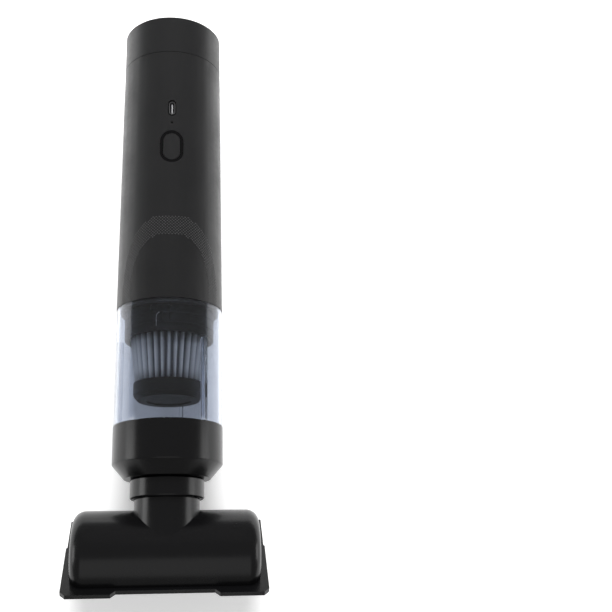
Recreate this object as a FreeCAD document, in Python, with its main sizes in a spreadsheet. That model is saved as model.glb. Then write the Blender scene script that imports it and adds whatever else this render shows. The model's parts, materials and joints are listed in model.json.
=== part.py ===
import FreeCAD, Part
import math
import os
import re

import Sketcher
from FreeCAD import Placement, Rotation, Vector

# A slim cordless handheld vacuum, lying on its back on a table. Its long axis runs along Y:
# the floor head is at -Y, the rear cap at +Y, and the power button faces up, +Z.
#
# The turned pieces are drawn in the machine's own frame and then laid down. There, height is
# measured along the long axis from the seam between the dust cup and its collar, positive
# towards the rear cap, and the front, with the button, faces -Y.

doc = FreeCAD.newDocument("handheld_vacuum")
sheet = doc.addObject("Spreadsheet::Sheet", "Sizes")

SIZES = {
    # casing, from the rear cap to the dust cup's collar
    "casing_front_radius": 34.8,
    "casing_taper": 1.2,
    "casing_wall": 3.6,
    "casing_length": 178.0,
    "rear_cap_length": 28.2,
    "rear_cap_wall": 2.4,
    "rear_cap_plug": 8.0,
    "rear_cap_bevel": 1.2,
    "exhaust_slot_width": 2.6,
    "exhaust_slot_inner": 9.0,
    "exhaust_slot_outer": 24.0,
    "exhaust_slot_count": 16,
    "foam_thickness": 8.0,
    "seam_gap": 0.3,
    "fit_gap": 0.2,
    # dust cup and collar
    "cup_length": 77.0,
    "cup_inset": 0.1,
    "cup_wall": 2.1,
    "cup_rib_depth": 3.0,
    "cup_rib_width": 2.4,
    "cup_rib_angle": 44.0,
    "cup_rib_count": 3,
    "collar_step": 0.2,
    "collar_height": 24.2,
    "collar_bevel_height": 8.9,
    "collar_bevel_width": 7.7,
    "collar_wall": 2.5,
    "nozzle_radius": 20.9,
    "nozzle_wall": 2.3,
    "nozzle_length": 7.4,
    "duct_top_drop": 19.5,
    "o_ring_depth": 0.9,
    "o_ring_width": 1.5,
    "o_ring_drop": 3.4,
    # flap over the inlet duct
    "flap_inset": 0.5,
    "flap_thickness": 1.5,
    "flap_pin_radius": 1.0,
    "flap_pin_length": 18.0,
    "flap_pin_setout": 2.3,
    "flap_knuckle_radius": 2.0,
    "flap_knuckle_length": 10.0,
    "pin_clearance": 0.06,
    "flap_ear_height": 8.0,
    "flap_arm_reach": 0.8,
    "flap_ear_depth": 4.8,
    "flap_ear_drop": 5.6,
    "flap_ear_setout": 2.2,
    # filter and its holder
    "filter_ring_wall": 3.3,
    "holder_wall": 2.4,
    "holder_drop": 20.4,
    "holder_flange": 5.0,
    "holder_flange_lead": 2.0,
    "seal_margin": 0.5,
    "slot_top_drop": 2.8,
    "slot_height": 4.6,
    "slot_left": -11.8,
    "slot_width": 12.0,
    "slot_margin": 0.3,
    "slot_leg_width": 4.4,
    "slot_bottom_drop": 15.2,
    "lug_width": 3.6,
    "lug_height": 4.0,
    "filter_inset": 0.5,
    "filter_bore_radius": 17.0,
    "pleat_count": 32,
    "pleat_depth": 3.2,
    "pleat_gap_width": 2.8,
    "pleat_mouth_half": 0.75,
    "end_cap_radius": 22.7,
    "end_cap_height": 11.0,
    "end_cap_bottom": 17.3,
    "end_cap_bevel": 1.5,
    "filter_ring_length": 16.0,
    "gasket_thickness": 2.0,
    # fan and motor
    "motor_radius": 15.0,
    "motor_length": 42.0,
    "motor_wall": 1.5,
    "motor_gasket_thickness": 2.0,
    "shaft_radius": 1.6,
    "bearing_radius": 5.5,
    "bearing_width": 4.0,
    "stator_margin": 3.0,
    "rotor_margin": 4.0,
    "shaft_overhang": 2.0,
    "rotor_radius": 8.4,
    "stator_bore_radius": 9.0,
    "impeller_radius": 24.0,
    "impeller_height": 10.0,
    "impeller_setback": 9.0,
    "impeller_hub_radius": 4.5,
    "impeller_hub_flare": 2.0,
    "impeller_disc": 1.4,
    "impeller_lead": 2.0,
    "blade_count": 9,
    "blade_thickness": 1.2,
    "blade_sweep": 25.0,
    "blade_root": 0.5,
    "shroud_setback": 11.0,
    "shroud_depth": 24.0,
    "shroud_wall": 2.0,
    "shroud_eye_radius": 12.0,
    "bulkhead_thickness": 4.0,
    "bulkhead_bore_radius": 7.0,
    "bulkhead_window_radius": 3.5,
    "bulkhead_window_circle": 24.0,
    "bulkhead_window_count": 9,
    "motor_screw_radius": 1.25,
    "motor_screw_length": 7.0,
    "motor_screw_head_radius": 2.3,
    "motor_screw_circle": 11.0,
    "motor_screw_count": 3,
    # battery pack
    "cell_radius": 9.2,
    "cell_count": 3,
    "cell_length": 65.0,
    "cell_circle": 13.0,
    "cell_setback": 18.0,
    "cell_recess": 1.5,
    "cell_holder_thickness": 4.0,
    "cell_holder_flat": 20.5,
    # control board, charging port, lamp and button
    "board_width": 22.0,
    "board_thickness": 1.6,
    "board_length": 56.0,
    "board_lead": 16.8,
    "board_setback": 9.5,
    "port_setback": 134.4,
    "port_trim_width": 5.2,
    "port_trim_length": 11.8,
    "port_width": 3.3,
    "port_length": 9.0,
    "port_wall": 0.3,
    "port_recess": 0.5,
    "tongue_width": 0.7,
    "tongue_length": 6.7,
    "lamp_setback": 123.4,
    "lamp_radius": 0.7,
    "button_setback": 105.8,
    "button_width": 11.2,
    "button_length": 19.2,
    "bezel_rim": 2.1,
    "bezel_depth": 3.4,
    "button_depth": 4.6,
    "button_travel": 1.2,
    "panel_drop": 0.25,
    "switch_size": 6.0,
    "switch_height": 2.6,
    "lamp_seat_size": 1.6,
    "lamp_seat_height": 0.9,
    "port_base_height": 1.4,
    "port_shell_lift": 0.1,
    # socket ring, head and its base
    "ring_wall": 2.15,
    "ring_height": 12.5,
    "ring_lip": 1.5,
    "ring_top_bevel": 0.6,
    "ring_bottom_bevel": 0.8,
    "bead_height": 1.6,
    "spigot_root": 2.0,
    "neck_inset": 0.4,
    "neck_step": 1.3,
    "neck_wall": 2.2,
    "swivel_clearance": 0.06,
    "head_tilt": 45.0,
    "head_drop": 79.0,
    "head_back": 5.3,
    "dome_radius": 27.5,
    "dome_length": 115.0,
    "dome_wall": 2.2,
    "dome_fillet": 8.0,
    "plate_width": 124.0,
    "plate_depth": 66.0,
    "plate_thickness": 3.0,
    "plate_corner": 3.0,
    "plate_relief_width": 59.0,
    "plate_relief_depth": 3.0,
    "plate_step": 0.8,
    "plate_step_setback": 7.5,
    "mouth_width": 96.0,
    "mouth_depth": 26.0,
    "mouth_corner": 4.0,
    "heel_width": 78.0,
    "heel_slope": 8.0,
    "table_gap": 0.2,
    "lint_strip_depth": 5.0,
    "lint_strip_height": 1.2,
    "lint_strip_inset": 0.2,
    "head_screw_radius": 1.1,
    "head_screw_head_radius": 2.6,
    "head_screw_head_height": 1.6,
    "head_screw_length": 11.0,
    "head_screw_side": 51.0,
    "head_screw_depth": 19.0,
    "head_boss_radius": 3.0,
    "head_boss_height": 13.0,
}
for row, (alias, number) in enumerate(SIZES.items(), start=1):
    sheet.set(f"A{row}", alias)
    sheet.set(f"B{row}", str(number))
    sheet.setAlias(f"B{row}", alias)
doc.recompute()

NODES = {}
EXPRESSION_WORDS = {"asin", "cos", "sin", "sqrt", "deg"}


def bound(text):
    """The expression with each size's name pointed at the spreadsheet."""
    def point(match):
        word = match.group(0)
        return word if word in EXPRESSION_WORDS else f"Sizes.{word}"
    return re.sub(r"[a-z][a-z_]*", point, text)


def value(text):
    """The number that an expression of the sizes comes to."""
    result = sheet.evalExpression(bound(text))
    return float(getattr(result, "Value", result))


def bind(item, **expressions):
    """Ties each property, such as Length, to its expression."""
    for name, text in expressions.items():
        item.setExpression(name, bound(text))


# Radii that follow from the driving sizes.
CASING_REAR_RADIUS = "(casing_front_radius - casing_taper)"
CASING_BORE = "(casing_front_radius - casing_wall)"
CUP_RADIUS = "(casing_front_radius - cup_inset)"
COLLAR_RADIUS = "(casing_front_radius + collar_step)"
COLLAR_MOUTH = f"({COLLAR_RADIUS} - collar_bevel_width)"
NOZZLE_BORE = "(nozzle_radius - nozzle_wall)"
NECK_RADIUS = "(nozzle_radius - neck_inset)"
SPIGOT_RADIUS = f"({NECK_RADIUS} - neck_step)"
RING_OUTER = "(nozzle_radius + fit_gap * 1.5 + ring_wall)"
FLAP_RADIUS = "(nozzle_radius - flap_inset)"
FLAP_PIN_OFFSET = "(nozzle_radius + flap_pin_setout)"
FILTER_RADIUS = "(end_cap_radius - filter_inset)"
FILTER_RING_BORE = "(end_cap_radius + fit_gap)"
HOLDER_BORE = f"({FILTER_RING_BORE} + filter_ring_wall + fit_gap * 2)"
HOLDER_RADIUS = f"({HOLDER_BORE} + holder_wall)"
BEZEL_WIDTH = "(button_width + bezel_rim * 2)"
BEZEL_LENGTH = "(button_length + bezel_rim * 2)"

# Heights of the fan, the motor, the cells and the controls, each from the piece before it.
SHROUD_FRONT = "(cup_length + shroud_setback)"
IMPELLER_FRONT = f"({SHROUD_FRONT} + impeller_setback)"
BULKHEAD_FRONT = f"({SHROUD_FRONT} + shroud_depth)"
MOTOR_FRONT = f"({BULKHEAD_FRONT} + bulkhead_thickness + motor_gasket_thickness)"
CELL_FRONT = f"({MOTOR_FRONT} + motor_length + cell_setback)"
PORT_HEIGHT = "(cup_length + port_setback)"
LAMP_HEIGHT = "(cup_length + lamp_setback)"
BUTTON_HEIGHT = "(cup_length + button_setback)"
BOARD_FRONT = f"({BUTTON_HEIGHT} - board_lead)"

# Heights of the main seams and faces, measured along the machine's axis.
CASING_END = "(cup_length + casing_length)"
REAR_END = "(cup_length + casing_length + rear_cap_length)"
HEAD_END = ("(head_drop + sin(head_tilt * 1 deg) * plate_depth / 2"
            " + cos(head_tilt * 1 deg) * plate_thickness)")
AXIS_SHIFT = f"({HEAD_END} - {REAR_END}) / 2"
COLLAR_END = "(collar_height + collar_bevel_height)"


def lay_down(item):
    """Lays a piece drawn in the machine's frame on its back, with the part's origin below it."""
    item.Placement = Placement(Vector(0, 0, 0), Rotation(Vector(1, 0, 0), -90))
    item.setExpression("Placement.Base.y", bound(AXIS_SHIFT))
    item.setExpression("Placement.Base.z", bound(COLLAR_RADIUS))


def tilt_head(item):
    """Places a piece drawn in the head's frame, whose base is the XY plane."""
    turn = Rotation(Vector(1, 0, 0), value("head_tilt") - 90)
    item.Placement = Placement(Vector(0, 0, 0), turn)
    item.setExpression("Placement.Base.y", bound(f"{AXIS_SHIFT} - head_drop"))
    item.setExpression("Placement.Base.z", bound(f"{COLLAR_RADIUS} - head_back"))


def node(item, name, place=lay_down):
    """Names a finished sub-part and puts it in its place."""
    item.Label = name
    place(item)
    NODES[name] = item
    return item


def new_body(name):
    return doc.addObject("PartDesign::Body", f"Body_{name}")


def origin_plane(body, role):
    return next(plane for plane in body.Origin.OriginFeatures if plane.Role == role)


def new_sketch(body, plane, name):
    sketch = body.newObject("Sketcher::SketchObject", name)
    sketch.AttachmentSupport = [(origin_plane(body, plane), "")]
    sketch.MapMode = "FlatFace"
    return sketch


def hold(sketch, item, end, kind, text):
    """Holds a point of the sketch at an expression's distance from an axis."""
    axis = -2 if kind == "DistanceX" else -1
    if text == "0":
        sketch.addConstraint(Sketcher.Constraint("PointOnObject", item, end, axis))
        return
    number = sketch.addConstraint(Sketcher.Constraint(kind, -1, 1, item, end, value(text)))
    sketch.setExpression(f"Constraints[{number}]", bound(text))


def outline(body, plane, name, corners):
    """A closed outline of straight edges, whose corners are pairs of expressions."""
    sketch = new_sketch(body, plane, name)
    points = [Vector(value(across), value(up), 0) for across, up in corners]
    for start, end in zip(points, points[1:] + points[:1]):
        sketch.addGeometry(Part.LineSegment(start, end), False)
    for edge, (across, up) in enumerate(corners):
        following = (edge + 1) % len(corners)
        sketch.addConstraint(Sketcher.Constraint("Coincident", edge, 2, following, 1))
        hold(sketch, edge, 1, "DistanceX", across)
        hold(sketch, edge, 1, "DistanceY", up)
    return sketch


def box_outline(body, plane, name, left, right, low, high):
    corners = [(left, low), (right, low), (right, high), (left, high)]
    return outline(body, plane, name, corners)


def stadium(body, plane, name, width, length, height):
    """A slot with round ends, upright on the sketch's vertical axis."""
    sketch = new_sketch(body, plane, name)
    radius = value(width) / 2
    reach = (value(length) - value(width)) / 2
    top = Vector(0, value(height) + reach, 0)
    low = Vector(0, value(height) - reach, 0)
    up = Vector(0, 0, 1)
    side = Vector(radius, 0, 0)
    half_turn = math.pi
    sketch.addGeometry(Part.ArcOfCircle(Part.Circle(top, up, radius), 0, half_turn), False)
    sketch.addGeometry(Part.LineSegment(top - side, low - side), False)
    sketch.addGeometry(Part.ArcOfCircle(Part.Circle(low, up, radius), half_turn, 2 * half_turn), False)
    sketch.addGeometry(Part.LineSegment(low + side, top + side), False)
    for first, second in ((0, 1), (1, 2), (2, 3), (3, 0)):
        sketch.addConstraint(Sketcher.Constraint("Tangent", first, 2, second, 1))
    hold(sketch, 0, 3, "DistanceX", "0")
    hold(sketch, 2, 3, "DistanceX", "0")
    hold(sketch, 0, 3, "DistanceY", f"{height} + ({length} - ({width})) / 2")
    hold(sketch, 2, 3, "DistanceY", f"{height} - ({length} - ({width})) / 2")
    size = sketch.addConstraint(Sketcher.Constraint("Radius", 0, radius))
    sketch.setExpression(f"Constraints[{size}]", bound(f"({width}) / 2"))
    return sketch


def circle(body, plane, name, radius, across="0", up="0"):
    sketch = new_sketch(body, plane, name)
    centre = Vector(value(across), value(up), 0)
    sketch.addGeometry(Part.Circle(centre, Vector(0, 0, 1), value(radius)), False)
    hold(sketch, 0, 3, "DistanceX", across)
    hold(sketch, 0, 3, "DistanceY", up)
    size = sketch.addConstraint(Sketcher.Constraint("Radius", 0, value(radius)))
    sketch.setExpression(f"Constraints[{size}]", bound(radius))
    return sketch


def pad(body, sketch, length, reverse=False, middle=False):
    feature = body.newObject("PartDesign::Pad", "Pad")
    feature.Profile = sketch
    feature.Reversed = reverse
    feature.Midplane = middle
    bind(feature, Length=length)
    return feature


def pocket(body, sketch, length, reverse=False, middle=False):
    """Cuts the sketch's outline out of the body, and makes sure that it cut something."""
    doc.recompute()
    before = body.Shape.Volume
    feature = body.newObject("PartDesign::Pocket", "Pocket")
    feature.Profile = sketch
    feature.Reversed = reverse
    feature.Midplane = middle
    bind(feature, Length=length)
    doc.recompute()
    if body.Shape.Volume >= before - 1e-6:
        raise ValueError(f"{body.Name}: the pocket {sketch.Name} cuts nothing")
    return feature


def ring_pattern(body, feature, count):
    """Repeats a feature evenly round the body's axis."""
    pattern = body.newObject("PartDesign::PolarPattern", "Pattern")
    pattern.Originals = [feature]
    axis = next(item for item in body.Origin.OriginFeatures if item.Role == "Z_Axis")
    pattern.Axis = (axis, [""])
    pattern.Angle = 360
    bind(pattern, Occurrences=count)
    body.Tip = pattern
    return pattern


def revolve(body, sketch, kind="PartDesign::Revolution"):
    feature = body.newObject(kind, "Turned")
    feature.Profile = sketch
    feature.ReferenceAxis = (sketch, ["V_Axis"])
    feature.Angle = 360
    return feature


def turned(name, corners, place=lay_down):
    """A piece turned about the machine's axis, from (radius, height) corners."""
    body = new_body(name)
    revolve(body, outline(body, "XZ_Plane", f"{name}_outline", corners))
    return node(body, name, place)


def turned_tube(name, inner, outer, low, high):
    return turned(name, [(inner, low), (outer, low), (outer, high), (inner, high)])


def trim_outside(body, name, radius):
    """Trims the body's front to a round face of the given radius about the machine's axis."""
    far = f"({COLLAR_RADIUS} * 3)"
    sketch = box_outline(body, "XZ_Plane", f"{name}_face", radius, far, "0", REAR_END)
    revolve(body, sketch, "PartDesign::Groove")


def trim_inside(body, name, radius):
    """Trims the body's back to a round face of the given radius about the machine's axis."""
    sketch = box_outline(body, "XZ_Plane", f"{name}_back", "0", radius, "0", REAR_END)
    revolve(body, sketch, "PartDesign::Groove")


def front_plug(name, width, length, height, depth, face, hole=None):
    """A stadium-shaped piece set in the front of the casing, curved to match it."""
    body = new_body(name)
    sketch = stadium(body, "XZ_Plane", f"{name}_outline", width, length, height)
    pad(body, sketch, f"{COLLAR_RADIUS} * 2")
    if hole:
        inner = stadium(body, "XZ_Plane", f"{name}_hole", hole[0], hole[1], height)
        pocket(body, inner, f"{COLLAR_RADIUS} * 2", reverse=True)
    trim_outside(body, name, face)
    trim_inside(body, name, f"{face} - {depth}")
    return node(body, name)


def cylinder(name, radius, height):
    item = doc.addObject("Part::Cylinder", name)
    bind(item, Radius=radius, Height=height)
    return item


def block(name, across, deep, tall):
    item = doc.addObject("Part::Box", name)
    bind(item, Length=across, Width=deep, Height=tall)
    return item


def offset(item, x="0", y="0", z="0", turn=Rotation()):
    """Moves a helper shape within its piece's own frame."""
    item.Placement = Placement(Vector(value(x), value(y), value(z)), turn)
    for axis, text in (("x", x), ("y", y), ("z", z)):
        if text != "0":
            item.setExpression(f"Placement.Base.{axis}", bound(text))
    return item


def joined(name, pieces):
    item = doc.addObject("Part::MultiFuse", name)
    item.Shapes = pieces
    item.Refine = True
    return item


def grouped(name, pieces):
    """Separate solids that are placed together as one sub-part."""
    item = doc.addObject("Part::Compound", name)
    item.Links = pieces
    return item


def cut(name, base, tool):
    item = doc.addObject("Part::Cut", name)
    item.Base = base
    item.Tool = tool
    item.Refine = True
    return item


# --- casing and rear cap ---------------------------------------------------------------------

def front_opening(body, name, width, length, height):
    """Cuts a stadium-shaped opening through the front wall."""
    opening = stadium(body, "XZ_Plane", name, width, length, height)
    pocket(body, opening, f"{COLLAR_RADIUS} * 2", reverse=True)


def make_casing():
    body = new_body("main_housing")
    corners = [(CASING_BORE, "cup_length"), ("casing_front_radius", "cup_length"),
               (CASING_REAR_RADIUS, CASING_END), (CASING_BORE, CASING_END)]
    revolve(body, outline(body, "XZ_Plane", "casing_outline", corners))
    front_opening(body, "button_opening", f"{BEZEL_WIDTH} + fit_gap", f"{BEZEL_LENGTH} + fit_gap",
                  BUTTON_HEIGHT)
    front_opening(body, "port_opening", "port_trim_width + fit_gap", "port_trim_length + fit_gap",
                  PORT_HEIGHT)
    lamp = circle(body, "XZ_Plane", "lamp_hole", "lamp_radius + fit_gap / 2", "0", LAMP_HEIGHT)
    pocket(body, lamp, f"{COLLAR_RADIUS} * 2", reverse=True)
    node(body, "main_housing")


def make_rear_cap():
    body = new_body("rear_cap")
    plug = f"({CASING_BORE} - fit_gap)"
    bore = f"({CASING_REAR_RADIUS} - rear_cap_wall)"
    sleeve = f"({CASING_BORE} - fit_gap - rear_cap_wall)"
    corners = [(plug, f"{CASING_END} - rear_cap_plug"), (plug, f"{CASING_END} + seam_gap"),
               (CASING_REAR_RADIUS, f"{CASING_END} + seam_gap"),
               (CASING_REAR_RADIUS, f"{REAR_END} - rear_cap_bevel"),
               (f"{CASING_REAR_RADIUS} - rear_cap_bevel", REAR_END), ("0", REAR_END),
               ("0", f"{REAR_END} - rear_cap_wall"), (bore, f"{REAR_END} - rear_cap_wall"),
               (bore, f"{CASING_END} + rear_cap_wall"), (sleeve, f"{CASING_END} + seam_gap"),
               (sleeve, f"{CASING_END} - rear_cap_plug")]
    revolve(body, outline(body, "XZ_Plane", "rear_cap_outline", corners))
    slot = box_outline(body, "XY_Plane", "exhaust_slot", "exhaust_slot_inner",
                       "exhaust_slot_outer", "-exhaust_slot_width / 2", "exhaust_slot_width / 2")
    first = pocket(body, slot, f"{REAR_END} + rear_cap_wall", reverse=True)
    ring_pattern(body, first, "exhaust_slot_count")
    node(body, "rear_cap")
    turned_tube("exhaust_foam", "0", f"{CASING_REAR_RADIUS} - rear_cap_wall - fit_gap",
                f"{REAR_END} - rear_cap_wall - foam_thickness", f"{REAR_END} - rear_cap_wall")


# --- control board, port, lamp and button ----------------------------------------------------

SURFACE = (f"(casing_front_radius - (casing_front_radius - {CASING_REAR_RADIUS})"
           f" * ({BUTTON_HEIGHT} - cup_length) / casing_length)")
PORT_SURFACE = (f"(casing_front_radius - (casing_front_radius - {CASING_REAR_RADIUS})"
                f" * ({PORT_HEIGHT} - cup_length) / casing_length)")
BUTTON_BACK = f"({SURFACE} - button_depth)"
BOARD_DEPTH = f"({SURFACE} - board_setback)"


def front_block(name, across, deep, tall, front, middle):
    """A block behind the casing's front wall, its front face at a depth from the axis."""
    item = block(f"{name}_block", across, deep, tall)
    offset(item, f"-({across}) / 2", f"-({front})", f"{middle} - ({tall}) / 2")
    return item


def make_controls():
    board = block("board_block", "board_width", "board_thickness", "board_length")
    offset(board, "-board_width / 2", f"-{BOARD_DEPTH}", BOARD_FRONT)
    wrap = joined("control_board_shape", [board, led_seat()])
    node(wrap, "control_board")

    front_plug("usb_c_trim", "port_trim_width", "port_trim_length", PORT_HEIGHT, "bezel_depth",
               f"{PORT_SURFACE} - panel_drop", ("port_width + port_wall * 2 + fit_gap / 2",
                                                "port_length + port_wall * 2 + fit_gap / 2"))
    shell = new_body("usb_c_shell")
    outer = stadium(shell, "XZ_Plane", "port_shell_outline", "port_width + port_wall * 2",
                    "port_length + port_wall * 2", PORT_HEIGHT)
    pad(shell, outer, f"{PORT_SURFACE} - panel_drop - port_recess")
    inner = stadium(shell, "XZ_Plane", "port_shell_mouth", "port_width", "port_length",
                    PORT_HEIGHT)
    pocket(shell, inner, f"{COLLAR_RADIUS} * 2", reverse=True)
    trim_inside(shell, "port_shell", f"{BOARD_DEPTH} + port_base_height + port_shell_lift")
    node(shell, "usb_c_shell")

    tongue = front_block("usb_c_tongue", "tongue_width",
                         f"{PORT_SURFACE} - panel_drop - port_recess * 3 - {BOARD_DEPTH}",
                         "tongue_length", f"{PORT_SURFACE} - panel_drop - port_recess * 3",
                         PORT_HEIGHT)
    base = front_block("usb_c_base", "port_width + port_wall * 2", "port_base_height",
                       "port_length + port_wall * 2", f"{BOARD_DEPTH} + port_base_height",
                       PORT_HEIGHT)
    node(joined("usb_c_tongue_shape", [tongue, base]), "usb_c_tongue")

    pipe = cylinder("lamp_rod", "lamp_radius",
                    f"{SURFACE} - panel_drop - {BOARD_DEPTH} - lamp_seat_height")
    offset(pipe, "0", f"-({BOARD_DEPTH} + lamp_seat_height)", LAMP_HEIGHT, Rotation(Vector(1, 0, 0), 90))
    node(grouped("led_light_pipe_shape", [pipe]), "led_light_pipe")

    front_plug("button_bezel", BEZEL_WIDTH, BEZEL_LENGTH, BUTTON_HEIGHT, "bezel_depth",
               f"{SURFACE} - panel_drop / 2", ("button_width + fit_gap * 2",
                                               "button_length + fit_gap * 2"))
    front_plug("power_button", "button_width", "button_length", BUTTON_HEIGHT, "button_depth",
               f"{SURFACE} - panel_drop")

    case = front_block("switch_case", "switch_size", "switch_height", "switch_size",
                       f"{BOARD_DEPTH} + switch_height",
                       BUTTON_HEIGHT)
    stem_height = f"({BUTTON_BACK} - button_travel - seam_gap - {BOARD_DEPTH})"
    stem = cylinder("switch_stem", "switch_size / 4", stem_height)
    offset(stem, "0", f"-{BOARD_DEPTH}", BUTTON_HEIGHT, Rotation(Vector(1, 0, 0), 90))
    node(joined("button_switch_shape", [case, stem]), "button_switch")


def led_seat():
    """The small lamp on the board, under its light pipe."""
    return front_block("lamp", "lamp_seat_size", "lamp_seat_height", "lamp_seat_size",
                       f"{BOARD_DEPTH} + lamp_seat_height", LAMP_HEIGHT)


# --- battery pack ----------------------------------------------------------------------------

def cell_holder(name, low):
    """A disc with a seat for each cell and air windows between them."""
    body = new_body(name)
    corners = [("0", low), (f"{CASING_BORE} - fit_gap", low),
               (f"{CASING_BORE} - fit_gap", f"{low} + cell_holder_thickness"),
               ("0", f"{low} + cell_holder_thickness")]
    revolve(body, outline(body, "XZ_Plane", f"{name}_outline", corners))
    whole = f"{low} + cell_holder_thickness * 2"
    window = circle(body, "XY_Plane", f"{name}_window", "cell_radius / 2",
                    "0", "-(cell_circle + cell_radius * 2 / 3)")
    first = pocket(body, window, whole, reverse=True)
    ring_pattern(body, first, "cell_count")
    flat = box_outline(body, "XY_Plane", f"{name}_flat", f"-{COLLAR_RADIUS}", COLLAR_RADIUS,
                       f"-{COLLAR_RADIUS}", "-cell_holder_flat")
    pocket(body, flat, whole, reverse=True)
    seats = [cell_solid(f"{name}_seat_{number}", number, "fit_gap / 2")
             for number in range(SIZES["cell_count"])]
    seated = cut(f"{name}_shape", body, joined(f"{name}_seats", seats))
    node(seated, name)


def cell_solid(name, number, gap):
    angle = f"(90 + 360 / cell_count * {number})"
    item = cylinder(name, f"cell_radius + {gap}", "cell_length")
    across = f"cos({angle} * 1 deg) * cell_circle"
    deep = f"sin({angle} * 1 deg) * cell_circle"
    return offset(item, across, deep, CELL_FRONT)


def make_battery_pack():
    for number in range(SIZES["cell_count"]):
        can = cell_solid(f"cell_{number + 1}_can", number, "0")
        node(grouped(f"cell_{number + 1}_shape", [can]), f"battery_cell_{number + 1}")
    cell_holder("battery_holder_front", f"({CELL_FRONT} - cell_holder_thickness + cell_recess)")
    cell_holder("battery_holder_rear", f"({CELL_FRONT} + cell_length - cell_recess)")


# --- motor and fan ---------------------------------------------------------------------------

MOTOR_END = f"({MOTOR_FRONT} + motor_length)"


def make_motor():
    bore = "(motor_radius - motor_wall)"
    seat = "bearing_radius"
    front, end = MOTOR_FRONT, MOTOR_END
    can = new_body("motor_can")
    corners = [(seat, front), ("motor_radius", front), ("motor_radius", end), (seat, end),
               (seat, f"{end} - bearing_width"), (bore, f"{end} - bearing_width"),
               (bore, f"{front} + bearing_width"), (seat, f"{front} + bearing_width")]
    revolve(can, outline(can, "XZ_Plane", "motor_can_outline", corners))
    screw = circle(can, "XY_Plane", "motor_can_screw_hole", "motor_screw_radius",
                   "motor_screw_circle", "0")
    depth = f"{front} + bearing_width"
    ring_pattern(can, pocket(can, screw, depth, reverse=True), "3")
    node(can, "motor_can")
    screws = []
    for number in range(SIZES["motor_screw_count"]):
        screws.append(motor_screw(number))
    node(grouped("motor_screws_shape", screws), "motor_screws")
    turned_tube("motor_stator", "stator_bore_radius", f"{bore} - fit_gap / 4",
                f"{front} + bearing_width + stator_margin",
                f"{end} - bearing_width - stator_margin")
    hole = "(shaft_radius + pin_clearance)"
    turned_tube("motor_bearing_front", hole, "bearing_radius", front, f"{front} + bearing_width")
    turned_tube("motor_bearing_rear", hole, "bearing_radius", f"{end} - bearing_width", end)
    turned_tube("motor_shaft", "0", "shaft_radius", f"{IMPELLER_FRONT} - shaft_overhang",
                f"{end} + shaft_overhang")
    turned_tube("rotor_core", "shaft_radius", "rotor_radius", f"{front} + bearing_width + rotor_margin",
                f"{end} - bearing_width - rotor_margin")


def motor_screw(number):
    """One of the screws that hold the motor to its bulkhead, head towards the fan."""
    body = new_body(f"motor_screw_{number + 1}")
    front = BULKHEAD_FRONT
    corners = [("0", f"{front} - motor_screw_radius"),
               ("motor_screw_head_radius", f"{front} - motor_screw_radius"),
               ("motor_screw_head_radius", front), ("motor_screw_radius", front),
               ("motor_screw_radius", f"{front} + motor_screw_length"),
               ("0", f"{front} + motor_screw_length")]
    name = f"motor_screw_outline_{number + 1}"
    revolve(body, outline(body, "XZ_Plane", name, corners))
    angle = f"(360 / motor_screw_count * {number}) * 1 deg"
    return offset(body, f"cos({angle}) * motor_screw_circle",
                  f"sin({angle}) * motor_screw_circle")


def make_impeller():
    body = new_body("impeller")
    back = f"({IMPELLER_FRONT} + impeller_height)"
    corners = [("shaft_radius", IMPELLER_FRONT), ("impeller_hub_radius", IMPELLER_FRONT),
               ("impeller_hub_radius + impeller_hub_flare", f"{back} - impeller_disc"),
               ("impeller_radius", f"{back} - impeller_disc"),
               ("impeller_radius", back), ("shaft_radius", back)]
    revolve(body, outline(body, "XZ_Plane", "impeller_outline", corners))
    blades = []
    for number in range(int(value("blade_count"))):
        blade = block(f"blade_{number + 1}", "impeller_radius - impeller_hub_radius - impeller_hub_flare",
                      "blade_thickness", "impeller_height - impeller_lead - impeller_disc / 2")
        sweep = Rotation(Vector(0, 0, 1), value("blade_sweep"))
        turn = Rotation(Vector(0, 0, 1), 360 * number / value("blade_count"))
        start = turn.multVec(Vector(value("impeller_hub_radius - blade_root"), 0, 0))
        blade.Placement = Placement(start, turn.multiply(sweep))
        blade.setExpression("Placement.Base.z", bound(f"{IMPELLER_FRONT} + impeller_lead"))
        blades.append(blade)
    node(joined("impeller_shape", [body] + blades), "impeller")


def make_fan_case():
    wall = f"({CASING_BORE} - fit_gap - shroud_wall)"
    front, rim = SHROUD_FRONT, f"({BULKHEAD_FRONT})"
    turned("fan_shroud", [("shroud_eye_radius", front), (f"{CASING_BORE} - fit_gap", front),
                          (f"{CASING_BORE} - fit_gap", rim), (wall, rim),
                          (wall, f"{front} + shroud_wall"),
                          ("shroud_eye_radius", f"{front} + shroud_wall")])
    body = new_body("motor_bulkhead")
    edge = f"({CASING_BORE} - fit_gap)"
    end = f"({BULKHEAD_FRONT} + bulkhead_thickness)"
    corners = [("bulkhead_bore_radius", rim), (edge, rim), (edge, end),
               ("bulkhead_bore_radius", end)]
    revolve(body, outline(body, "XZ_Plane", "bulkhead_outline", corners))
    window = circle(body, "XY_Plane", "bulkhead_window", "bulkhead_window_radius", "0",
                    "-bulkhead_window_circle")
    ring_pattern(body, pocket(body, window, end, reverse=True), "bulkhead_window_count")
    screw = circle(body, "XY_Plane", "bulkhead_screw_hole", "motor_screw_radius + fit_gap / 2",
                   "motor_screw_circle", "0")
    ring_pattern(body, pocket(body, screw, end, reverse=True), "motor_screw_count")
    node(body, "motor_bulkhead")
    turned_tube("motor_gasket", "bulkhead_bore_radius",
                "motor_screw_circle - motor_screw_radius - fit_gap", end, MOTOR_FRONT)


# --- filter and its holder -------------------------------------------------------------------

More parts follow.
